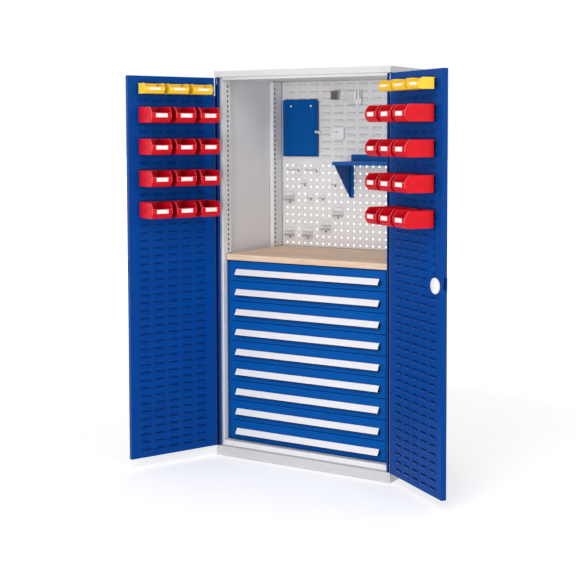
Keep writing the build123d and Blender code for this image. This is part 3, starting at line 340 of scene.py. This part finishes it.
def card_material(name):
    """Blank paper behind a thin clear front: fibres and faint yellowing."""
    n = Nodes(name)
    fibres = n.noise(420.0, 5.0, 0.7, distortion=1.2)
    light = n.ramp(fibres, spread((0.3, 0.7), (linear(236, 234, 230), linear(250, 249, 247))))
    warm = n.ramp(fibres, spread((0.3, 0.7), (linear(228, 225, 216), linear(243, 240, 232))))
    yellowed = n.ramp(n.noise(25.0, 2.0), spread((0.45, 0.65), BLACK_WHITE))
    colour = n.mix(yellowed, light, warm)
    return n.finish(colour, n.remap(fibres, 0.45, 0.6), n.bump(fibres, 0.1, 0.0002))


def beech(name):
    """Glued beech staves along the worktop with fleck and pores; faces that point up are darkened as painted
    shade.
    """
    n = Nodes(name)
    staves_per_metre = 22.0
    pieces_per_metre = 2.6
    joint_shift = 0.377
    stave = n.math("FLOOR", n.math("MULTIPLY", n.along("Y"), staves_per_metre))
    shifted = n.math("ADD", n.along("X"), n.math("MULTIPLY", stave, joint_shift))
    piece = n.math("FLOOR", n.math("MULTIPLY", shifted, pieces_per_metre))
    seed = n.new("ShaderNodeCombineXYZ")
    n.link(piece, seed.inputs[0])
    n.link(stave, seed.inputs[1])
    tone = n.new("ShaderNodeTexWhiteNoise", noise_dimensions="3D")
    n.link(seed.outputs[0], tone.inputs["Vector"])
    own_grain = n.new("ShaderNodeVectorMath", operation="MULTIPLY_ADD")
    n.link(seed.outputs[0], own_grain.inputs[0])
    own_grain.inputs[1].default_value = (3.7, 5.1, 2.3)
    n.link(n.stretched((1.6, 26.0, 26.0)), own_grain.inputs[2])
    grain = n.noise(3.2, 6.0, 0.62, vector=own_grain.outputs[0], distortion=0.8)
    fleck = n.noise(1.0, 3.0, 0.6, vector=n.stretched((90.0, 900.0, 900.0)))
    places = (0.28, 0.5, 0.75)
    pale_tones = (linear(228, 195, 162), linear(243, 214, 184), linear(251, 228, 200))
    deep_tones = (linear(217, 180, 145), linear(233, 201, 168), linear(244, 216, 185))
    pale = n.ramp(grain, spread(places, pale_tones))
    deep = n.ramp(grain, spread(places, deep_tones))
    brown = n.ramp(grain, spread((0.2, 0.8), (linear(186, 138, 96), linear(205, 160, 116))))
    pores = n.ramp(fleck, spread((0.62, 0.8), BLACK_WHITE))
    colour = n.mix(pores, n.mix(tone.outputs["Value"], pale, deep), brown)
    # Painted shade: faces that point up are darkened.
    face_up = n.remap(n.along("Z", n.flat()), 1.0, 0.0, 0.4, 0.6)
    painted_top_shade = n.ramp(grain, spread((0.0, 1.0), ((0.78, 0.78, 0.80), (0.86, 0.86, 0.88))))
    colour = n.mix(face_up, colour, painted_top_shade, blend="MULTIPLY")
    fine = n.bump(fleck, 0.2, 0.0002, below=n.rounded(0.0012))
    normal = n.bump(grain, 0.15, 0.0004, below=fine)
    return n.finish(colour, n.remap(grain, 0.42, 0.58), normal, specular=0.25)


def strip_material(name, low):
    """The strip in a door's hinge groove: a white upper end and a lower run in a per-door colour that is
    painted light.
    """
    n = Nodes(name)
    white_span = (1.826, 5.0)
    base = linear(*low)
    mottle = n.noise(40.0, 3.0, 0.6)
    dull = n.ramp(mottle, spread((0.3, 0.7), (shade(base, 0.9), shade(base, 1.1))))
    white = n.ramp(mottle, spread((0.3, 0.7), (linear(238, 240, 244), linear(250, 250, 252))))
    colour = n.mix(n.between(n.along("Z"), *white_span), dull, white)
    normal = n.bump(mottle, 0.1, 0.0003, below=n.rounded(0.0006))
    return n.finish(colour, n.remap(mottle, 0.3, 0.45), normal, metallic=0.1)


# A reach given to a paint or plastic below sets how far its painted shade in openings, corners and gaps
# reaches.
BLUE = paint("paint_blue", (0, 64, 143), (0.3, 0.42), specular=0.07, shade_reach=0.016)
# The board's strong edge factor and wide radius paint light lines along its rims: painted highlight.
BOARD_BLUE = paint("paint_board_blue", (0, 80, 154), (0.36, 0.48), edge=2.4, specular=0.08, radius=0.004,
                   shade_reach=0.02)
SHELF_BLUE = paint("paint_shelf_blue", (18, 82, 156), (0.34, 0.46), edge=1.4, specular=0.15)
DRAWER_BLUE = paint("paint_drawer_blue", (0, 80, 160), (0.36, 0.48), specular=0.06, shade_reach=0.022)
# One grey paint in two tones as painted light: darker on the cover, plinth, back and outer side faces,
# lighter on the ceiling, floor, posts and inner side faces.
COVER_GREY = paint("paint_cover_grey", (205, 205, 206), (0.42, 0.54), 0.02, edge=1.06)
GREY_LIT_INSIDE = paint("paint_grey_lit_inside", (232, 232, 233), (0.42, 0.54), 0.02, edge=1.06)
SIDE_GREY = paint("paint_side_grey", (232, 232, 233), (0.42, 0.54), 0.02, edge=1.06, outside=(205, 205, 206))
LIGHT_GREY_LIT_INSIDE = paint("paint_light_grey_lit_inside", (232, 232, 233), (0.44, 0.56), 0.02, edge=1.06, shade_reach=0.009)
WALL_PAINT = paint("paint_wall_grey", (221, 221, 222), (0.45, 0.58), 0.02, edge=1.4, radius=0.003, shade_reach=0.008)
ALUMINIUM = metal("grip_aluminium", (236, 235, 237), (0.45, 0.58), (2, 160, 160), metallic=0.05, swing=0.02)
ZINC = metal("zinc_plate", (196, 197, 198), (0.3, 0.46), (30, 30, 30))
PLATE_ZINC = metal("plate_zinc", (232, 233, 235), (0.36, 0.5), (40, 40, 40), metallic=0.1, swing=0.06)
FITTINGS = fitting_metal("fitting_zinc")
# One hinge strip on both doors, coloured per door as painted light: dark blue on the left door, a painted
# grey reflection on the right door.
LEFT_STRIP_LIT_COPY = strip_material("strip_left_lit_copy", (28, 52, 108))
RIGHT_STRIP_REFLECTION = strip_material("strip_right_reflection", (120, 118, 122))
RED = plastic("bin_red", (212, 4, 26), (0.3, 0.44), lift=0.05, specular=0.2, shade_reach=0.05)
# Painted highlight: paler copies of the bins' red and yellow plastic for their beads, lips and card frames.
RED_RIM_HIGHLIGHT = plastic("bin_red_rim_highlight", (240, 92, 104), (0.3, 0.44))
YELLOW = plastic("bin_yellow", (255, 206, 46), (0.3, 0.44), lift=0.1, specular=0.4, shade_reach=0.012)
YELLOW_RIM_HIGHLIGHT = plastic("bin_yellow_rim_highlight", (255, 222, 110), (0.3, 0.44))
DARK = plastic("dark_plastic", (26, 27, 31), (0.3, 0.45))
# Near-black for the strips behind the post slots: painted shade.
SLOT_SHADE_BLACK = plastic("slot_shade_black", (14, 14, 15), (0.6, 0.75), specular=0.1)
WHITE = plastic("white_plastic", (238, 238, 236), (0.32, 0.44), variation=0.02)
PLUG = plastic("plug_red", (158, 48, 62), (0.35, 0.5))
HOLDER = holder_material("clamp_holder_grey")
CARD = card_material("label_paper")
WOOD = beech("beech_staves")

NODE_MATERIALS = {
    "side_panels": SIDE_GREY, "top_cover": COVER_GREY, "ceiling_panel": GREY_LIT_INSIDE, "floor_panel": GREY_LIT_INSIDE,
    "plinth": COVER_GREY, "front_posts": LIGHT_GREY_LIT_INSIDE, "rear_posts": LIGHT_GREY_LIT_INSIDE, "back_panel": COVER_GREY,
    "louvred_wall": WALL_PAINT, "perforated_wall": WALL_PAINT, "worktop": WOOD,
    "housing_sides": DRAWER_BLUE, "housing_plates": DRAWER_BLUE, "drawer_runners": ZINC,
    "hinge_bushes": DARK, "document_board": BOARD_BLUE, "clamp_holder": HOLDER, "rod_holder": PLATE_ZINC,
    "wall_shelf": SHELF_BLUE, "shelf_brackets": SHELF_BLUE, "long_hooks": FITTINGS, "small_clips": FITTINGS,
    "wide_clips": FITTINGS, "hook_locks": PLUG, "rod_guides": ZINC, "lock_cover_disc": WHITE,
    "lock_handle": DARK, "lock_cam": ZINC, "lock_rod_upper": ZINC, "lock_rod_lower": ZINC,
    "door_left_pins": LEFT_STRIP_LIT_COPY, "door_right_pins": RIGHT_STRIP_REFLECTION,
}
DOOR_MATERIALS = {"shell": BLUE, "panel": BLUE, "yellow_bins": YELLOW, "red_bins": RED, "label_cards": CARD}
for side in SIDES:
    for part, material in DOOR_MATERIALS.items():
        NODE_MATERIALS["door_%s_%s" % (side, part)] = material
for i in range(1, DRAWERS + 1):
    NODE_MATERIALS["drawer_%d" % i] = DRAWER_BLUE
    NODE_MATERIALS["drawer_%d_handle" % i] = ALUMINIUM
for name, node in NODES.items():
    node.data.materials.clear()
    node.data.materials.append(NODE_MATERIALS[name])


# ---------------------------------------------------------------- mesh helpers
def round_edges(thing, width):
    """Rounds the sharp edges of a piece or a CAD node."""
    bevel = thing.modifiers.new("round", "BEVEL")
    bevel.width = width
    bevel.segments = 2
    bevel.limit_method = "ANGLE"
    bevel.angle_limit = math.radians(35)


def soften(name, width):
    """Rounds the folded and cut edges of a CAD node."""
    weld = NODES[name].modifiers.new("weld", "WELD")
    weld.merge_threshold = 0.00001
    round_edges(NODES[name], width)


def add_piece(name, mesh, material, body, smooth=False):
    """A mesh as a piece of the object, on its body."""
    mesh.validate()
    bm = bmesh.new()
    bm.from_mesh(mesh)
    bmesh.ops.recalc_face_normals(bm, faces=bm.faces)
    for face in bm.faces:
        face.smooth = smooth
    bm.to_mesh(mesh)
    bm.free()
    mesh.materials.append(material)
    piece = bpy.data.objects.new(name, mesh)
    bpy.context.scene.collection.objects.link(piece)
    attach(piece, body)
    return piece


class Shape:
    """Collects vertices and faces of one piece."""

    def __init__(self, place=None):
        self.verts = []
        self.faces = []
        self.place = place or Matrix.Identity(4)

    def add(self, points, faces):
        start = len(self.verts)
        self.verts += [self.place @ Vector(p) for p in points]
        self.faces += [[start + i for i in face] for face in faces]

    def piece(self, name, material, body, slot, smooth=False, bevel=0.0):
        mesh = bpy.data.meshes.new(name)
        mesh.from_pydata(self.verts, [], self.faces)
        made = add_piece(name, mesh, material, body, smooth)
        if bevel:
            round_edges(made, bevel)

    def block(self, x0, x1, y0, y1, z0, z1):
        points = [(x, y, z) for x in (x0, x1) for y in (y0, y1) for z in (z0, z1)]
        faces = [(0, 1, 3, 2), (4, 6, 7, 5), (0, 4, 5, 1), (2, 3, 7, 6), (0, 2, 6, 4), (1, 5, 7, 3)]
        self.add(points, faces)

    def prism(self, outline, x0, x1):
        """A side outline of (y, z) run from x0 to x1."""
        n = len(outline)
        points = [(x, y, z) for x in (x0, x1) for y, z in outline]
        faces = [list(range(n)), list(range(n, 2 * n))]
        faces += [(i, (i + 1) % n, n + (i + 1) % n, n + i) for i in range(n)]
        self.add(points, faces)

    def turned(self, profile, centre, count, axis="y"):
        """A profile of (radius, along) turned about the depth axis or the width axis, with closed ends."""
        cx, cy, cz = centre
        rings = []
        points = []
        for radius, along in profile:
            ring = []
            for k in range(count):
                a = 2 * math.pi * k / count
                if axis == "y":
                    p = (cx + radius * math.cos(a), cy + along, cz + radius * math.sin(a))
                else:
                    p = (cx + along, cy + radius * math.cos(a), cz + radius * math.sin(a))
                ring.append(len(points))
                points.append(p)
            rings.append(ring)
        faces = [rings[0], rings[-1]]
        for low, high in zip(rings, rings[1:]):
            faces += [(low[k], low[(k + 1) % count], high[(k + 1) % count], high[k]) for k in range(count)]
        self.add(points, faces)

    def ring(self, profile, centre, count):
        """A closed profile of (radius, along) turned into a hollow ring about the depth axis."""
        cx, cy, cz = centre
        n = len(profile)
        points = []
        faces = []
        for k in range(count):
            a = 2 * math.pi * k / count
            for radius, along in profile:
                points.append((cx + radius * math.cos(a), cy + along, cz + radius * math.sin(a)))
            k2 = (k + 1) % count
            for i in range(n):
                j = (i + 1) % n
                faces.append((k * n + i, k * n + j, k2 * n + j, k2 * n + i))
        self.add(points, faces)


def door_place(side):
    """Door coordinates (from the hinge edge, into the cabinet, up) to the frame at rest."""
    joint = JOINTS["door_%s_hinge" % side]
    px, py, _ = joint["pos_m"]
    angle = math.radians(-joint["range_deg"][0]) * joint["axis"][2]
    to_pivot = Matrix.Translation((-px, -py, 0))
    from_pivot = Matrix.Translation((px, py, 0))
    spin = from_pivot @ Matrix.Rotation(angle, 4, "Z") @ to_pivot
    shut = Matrix.Translation((-HINGE_EDGE, FRONT, 0))
    if side == "right":
        shut = Matrix.Diagonal((-1, 1, 1, 1)) @ shut
    return spin @ shut


PLACES = {side: door_place(side) for side in SIDES}


# ---------------------------------------------------------------- details of the object
def post_slot_shade_strips():
    """Dark strips behind the slots of the posts, painted shade for the dark hollow inside the posts, with a
    shallow bead down the middle.
    """
    low, high = 1.035, 1.895
    near, back, crest = 0.4722, 0.4742, 0.4752
    shade_strip_half, bead_half = 0.008, 0.002
    shape = Shape()
    for side in (-1, 1):
        for y in (-0.219, 0.213):
            for inner, outer, half in ((near, back, shade_strip_half), (back, crest, bead_half)):
                x0, x1 = sorted((side * inner, side * outer))
                shape.block(x0, x1, y - half, y + half, low, high)
    shape.piece("post_slot_shade_strips", SLOT_SHADE_BLACK, "cabinet", "dark_plastic")


def rim_path(size):
    """Side view (y, z) of a bin's front edge, from its turn up to the top."""
    path = [(size.depth, size.turn), (size.depth, size.front)]
    steps = 4
    for i in range(1, steps):
        share = i / steps
        y = size.depth - share * size.cut + size.cut / 8 * math.sin(math.pi * share)
        path.append((y, size.front + share * (size.height - size.front)))
    return path + [(size.depth - size.cut, size.height)]


def front_beads(shape, x, top, size):
    """Moulded beads on both edges of a bin's open front and along its lower lip."""
    bead_depth = 0.0030
    inside = 0.0014
    lip_back, lip_proud, lip_half = 0.0020, 0.0003, 0.0008
    path = rim_path(size)
    foot = top - size.height
    half = BIN_WIDTH / 2
    for reach, proud in ((0.0006, 0.0003), (0.0014, -0.0008)):
        outer = [(BIN_BACK + y + proud, foot + z) for y, z in path]
        inner = [(BIN_BACK + y - bead_depth, foot + z) for y, z in reversed(path)]
        shape.prism(outer + inner, x - half - reach, x - half + inside)
        shape.prism(outer + inner, x + half - inside, x + half + reach)
    y = BIN_BACK + size.depth
    z = foot + size.front
    shape.block(x - half, x + half, y - lip_back, y + lip_proud, z - lip_half, z + lip_half)


def card_frame(shape, x, top, size):
    """A thin moulded frame of three ledges round a bin's card."""
    wide = 0.0016
    proud = 0.0011
    y = BIN_BACK + size.depth
    z0 = top - size.card_low
    z1 = top - size.card_high
    shape.block(x - CARD_HALF - wide, x - CARD_HALF, y, y + proud, z0 - wide, z1)
    shape.block(x + CARD_HALF, x + CARD_HALF + wide, y, y + proud, z0 - wide, z1)
    shape.block(x - CARD_HALF, x + CARD_HALF, y, y + proud, z0 - wide, z0)


def side_ribs(shape, x, top):
    """Five short upright ribs towards the rear of a red bin's sides."""
    count = 5
    first, step = 0.036, 0.012
    proud, rib_half = 0.0009, 0.0012
    low_drop, high_drop = 0.050, 0.026
    half = BIN_WIDTH / 2
    for edge, out in ((x - half, -1), (x + half, 1)):
        x0, x1 = sorted((edge, edge + out * proud))
        for k in range(count):
            y = BIN_BACK + first + k * step
            shape.block(x0, x1, y - rib_half, y + rib_half, top - low_drop, top - high_drop)


def bin_details(side):
    """Beads, card frames and ribs of the hanging bins on one door."""
    body = "door_" + side
    red = Shape(PLACES[side])
    ribs = Shape(PLACES[side])
    yellow = Shape(PLACES[side])
    for x in BIN_COLUMNS:
        for top in RED_TOPS:
            front_beads(red, x, top, RED_BIN)
            card_frame(red, x, top, RED_BIN)
            side_ribs(ribs, x, top)
        front_beads(yellow, x, YELLOW_TOP, YELLOW_BIN)
        card_frame(yellow, x, YELLOW_TOP, YELLOW_BIN)
    # The beads, lips and card frames take the paler plastic as a painted highlight.
    red.piece("bin_rims_red_" + side, RED_RIM_HIGHLIGHT, body, "red_plastic")
    ribs.piece("bin_ribs_" + side, RED, body, "red_plastic")
    yellow.piece("bin_rims_yellow_" + side, YELLOW_RIM_HIGHLIGHT, body, "yellow_plastic")


def rivet_row(name, places, body, slot, material, height=0.0012):
    """Low domed rivet heads at (point, direction) pairs."""
    radius = 0.003
    profile = [(radius, 0.0), (radius, height * 0.35), (radius * 0.8, height * 0.75), (radius * 0.4, height)]
    shape = Shape()
    for point, direction in places:
        turn = Vector((0, 1, 0)).rotation_difference(Vector(direction)).to_matrix().to_4x4()
        shape.place = Matrix.Translation(point) @ turn
        shape.turned(profile, (0, 0, 0), count=16)
    shape.piece(name, material, body, slot, smooth=True)


def rivets():
    """Rivets of the tool wall and of the doors' pans."""
    forward = (0, -1, 0)
    wall = [((x, WALL, z), forward) for x in (-0.462, 0.462) for z in (1.03, 1.2, 1.37, 1.54, 1.71, 1.88)]
    rivet_row("wall_rivets", wall, "cabinet", "steel_light", WALL_PAINT)
    for side in SIDES:
        place = PLACES[side]
        points = [Vector((x, 0.0, z)) for x in (0.03, 0.25, 0.47) for z in (0.066, 1.904)]
        ends = [(place @ point, place.to_3x3() @ Vector(forward)) for point in points]
        rivet_row("door_rivets_" + side, ends, "door_" + side, "steel_blue", BLUE, height=0.0007)


def lock_details():
    """Domed cap on the lock's inner disc and a rosette round the knob outside."""
    disc_height = 0.007
    cap = Shape(PLACES["right"])
    dome = [(0.0350, -0.0062), (0.0354, -0.0030), (0.0350, 0.0002), (0.0325, 0.0016), (0.0290, 0.0020),
            (0.0284, 0.0014), (0.0272, 0.0014), (0.0266, 0.0022), (0.0180, 0.0030), (0.0080, 0.0033)]
    cap.turned(dome, (LOCK_X, DOOR_SEAT + disc_height, LOCK_Z), count=64)
    cap.piece("lock_disc_cap", WHITE, "door_right", "white_plastic", smooth=True)
    face_gap = 0.00002
    rosette = Shape(PLACES["right"])
    collar = [(0.0226, 0.0), (0.0226, -0.0016), (0.0240, -0.0022), (0.0275, -0.0018), (0.0295, -0.0004),
              (0.0295, 0.0)]
    rosette.ring(collar, (LOCK_X, -face_gap, LOCK_Z), count=56)
    rosette.piece("knob_rosette", DARK, "door_right", "dark_plastic", smooth=True)


def board_details():
    """Bright stud caps on the board, a white knob and a dark pad for the arm beside it."""
    stud = [(0.0058, 0.0), (0.0058, -0.0010), (0.0046, -0.0026), (0.0022, -0.0034)]
    stud_face = FITTING - 0.0021
    stud_height = 1.785
    studs = Shape()
    for x in (-0.405, -0.279):
        studs.turned(stud, (x, stud_face, stud_height), count=24)
    studs.piece("board_studs", WHITE, "cabinet", "white_plastic", smooth=True)
    arm_y = FITTING - 0.0132
    arm_z = 1.6425
    pad_x = -0.231
    knob_x = -0.222
    knob = Shape()
    knob.turned([(0.0026, -0.0060), (0.0050, -0.0048), (0.0062, -0.0018), (0.0062, 0.0018), (0.0050, 0.0048),
                 (0.0026, 0.0060)], (knob_x, arm_y, arm_z), count=28, axis="x")
    knob.piece("arm_knob", WHITE, "cabinet", "white_plastic", smooth=True)
    pad = Shape()
    pad.turned([(0.0050, -0.0098), (0.0076, -0.0086), (0.0076, -0.0066), (0.0070, -0.0058), (0.0076, -0.0050),
                (0.0076, -0.0012), (0.0050, -0.0004)], (pad_x, arm_y, arm_z), count=28, axis="x")
    pad.piece("arm_pad", DARK, "cabinet", "dark_plastic", smooth=True)


def grip_shade_pieces():
    """Dark end caps on the grip strips and a dark strip under their lower edge, painted shade for the grips'
    shaded ends and underside.
    """
    wide = 0.0014
    drop = 0.0026
    top_depth = 0.002
    face = 0.002
    shade_strip_back = 0.0004
    shade_strip_depth = 0.0050
    shade_strip_rise = 0.0010
    for i in range(DRAWERS):
        low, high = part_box("drawer_%d_handle" % (i + 1))
        y0 = DRAWER_FRONT
        outline = [(y0, high.z), (y0 - top_depth, high.z), (low.y, low.z + face), (low.y, low.z), (y0, low.z)]
        shape = Shape()
        # Painted shade: dark end caps at both ends of the grip.
        shape.prism(outline, low.x - wide, low.x)
        shape.prism(outline, high.x, high.x + wide)
        # Painted shade: a dark strip under the grip where there is only shade.
        lower = [(low.y + shade_strip_back, low.z), (low.y + shade_strip_back, low.z - drop),
                 (low.y + shade_strip_depth, low.z - drop), (y0, low.z - shade_strip_rise), (y0, low.z)]
        shape.prism(lower, low.x, high.x + wide)
        shape.piece("handle_ends_%d" % (i + 1), DARK, "drawer_%d" % (i + 1), "dark_plastic", bevel=0.0003)


post_slot_shade_strips()
for side in SIDES:
    bin_details(side)
lock_details()
board_details()
rivets()
grip_shade_pieces()

EDGE_WIDTHS = {"top_cover": 0.0012, "plinth": 0.0012, "worktop": 0.0015, "side_panels": 0.0007}
for name, width in EDGE_WIDTHS.items():
    soften(name, width)


# ---------------------------------------------------------------- stage, light and camera
def background_rays(tree):
    """1 for the rays that show the background: from the camera, in gloss and through glass."""
    path = tree.nodes.new("ShaderNodeLightPath")
    seen = path.outputs["Is Camera Ray"]
    for kind in ("Is Glossy Ray", "Is Transmission Ray"):
        either = tree.nodes.new("ShaderNodeMath")
        either.operation = "MAXIMUM"
        tree.links.new(seen, either.inputs[0])
        tree.links.new(path.outputs[kind], either.inputs[1])
        seen = either.outputs[0]
    return seen


def stage_floor():
    """A pale floor that turns white away from the object and keeps its shadow."""
    half_size = 60.0
    drop = 0.0005
    glow_near, glow_far = 0.42, 0.98
    near, far = 1.6, 6.0
    n = Nodes("floor_white")
    clouds = n.noise(0.6, 2.0)
    colour = n.ramp(clouds, spread((0.3, 0.7), ((0.80, 0.80, 0.80), (0.82, 0.82, 0.82))))
    n.link(colour, n.shader.inputs["Base Color"])
    n.link(n.remap(clouds, 0.75, 0.85), n.shader.inputs["Roughness"])
    n.shader.inputs["Specular IOR Level"].default_value = 0.1
    distance = n.new("ShaderNodeVectorMath", operation="LENGTH")
    n.link(n.coords, distance.inputs[0])
    strength = n.remap(distance.outputs["Value"], glow_near, glow_far, near, far)
    glow = n.new("ShaderNodeEmission")
    glow.inputs["Color"].default_value = (1, 1, 1, 1)
    n.link(n.math("MULTIPLY", background_rays(n.tree), strength), glow.inputs["Strength"])
    both = n.new("ShaderNodeAddShader")
    n.link(n.shader.outputs[0], both.inputs[0])
    n.link(glow.outputs[0], both.inputs[1])
    n.link(both.outputs[0], n.tree.nodes["Material Output"].inputs["Surface"])
    mesh = bpy.data.meshes.new("floor")
    corners = [(x * half_size, y * half_size, 0) for x, y in ((-1, -1), (1, -1), (1, 1), (-1, 1))]
    mesh.from_pydata(corners, [], [(0, 1, 2, 3)])
    mesh.materials.append(n.material)
    floor = bpy.data.objects.new("floor", mesh)
    bpy.context.scene.collection.objects.link(floor)
    floor.location.z = -drop


def world_light():
    """Even white light, and a white background behind the object."""
    light_level, background_level = 0.45, 1.0
    world = bpy.data.worlds.new("studio")
    bpy.context.scene.world = world
    world.use_nodes = True
    tree = world.node_tree
    back = tree.nodes["Background"]
    back.inputs["Color"].default_value = (1, 1, 1, 1)
    level = tree.nodes.new("ShaderNodeMapRange")
    level.inputs["To Min"].default_value = light_level
    level.inputs["To Max"].default_value = background_level
    tree.links.new(background_rays(tree), level.inputs["Value"])
    tree.links.new(level.outputs["Result"], back.inputs["Strength"])


def area_light(name, place, target, size, power):
    """A soft lamp of a width and height that looks at a point."""
    data = bpy.data.lights.new(name, "AREA")
    data.shape = "RECTANGLE"
    data.size, data.size_y = size
    data.energy = power
    lamp = bpy.data.objects.new(name, data)
    bpy.context.scene.collection.objects.link(lamp)
    lamp.location = place
    direction = Vector(target) - Vector(place)
    lamp.rotation_euler = direction.to_track_quat("-Z", "Y").to_euler()


def photo_camera():
    """The photograph's view: a long lens at eye level, a little to the right of the cabinet."""
    tilt_down = 3.39
    turn_left = 29.76
    data = bpy.data.cameras.new("photo_camera")
    data.sensor_width = 36.0
    data.lens = 72.97
    data.shift_x = -0.1089
    data.shift_y = -0.1493
    data.clip_end = 100.0
    camera = bpy.data.objects.new("photo_camera", data)
    bpy.context.scene.collection.objects.link(camera)
    camera.location = (3.01505, -5.05928, 1.6418)
    camera.rotation_euler = (math.radians(90 - tilt_down), 0, math.radians(turn_left))
    bpy.context.scene.camera = camera


stage_floor()
world_light()
MIDDLE = (0, 0, 1.0)
area_light("key", (1.5, -5.0, 4.6), (0, -0.2, 1.0), (3.0, 2.4), 85)
area_light("fill", (0.9, -6.6, 1.2), (0, 0.2, 1.4), (3.6, 2.2), 175)
area_light("left", (-5.0, -4.0, 2.4), MIDDLE, (3.0, 3.0), 40)
area_light("right", (5.5, -2.5, 2.8), MIDDLE, (3.0, 3.0), 75)
area_light("rear", (-2.5, 5.5, 4.0), MIDDLE, (4.0, 3.0), 80)
photo_camera()
bpy.context.scene.view_settings.view_transform = "Standard"
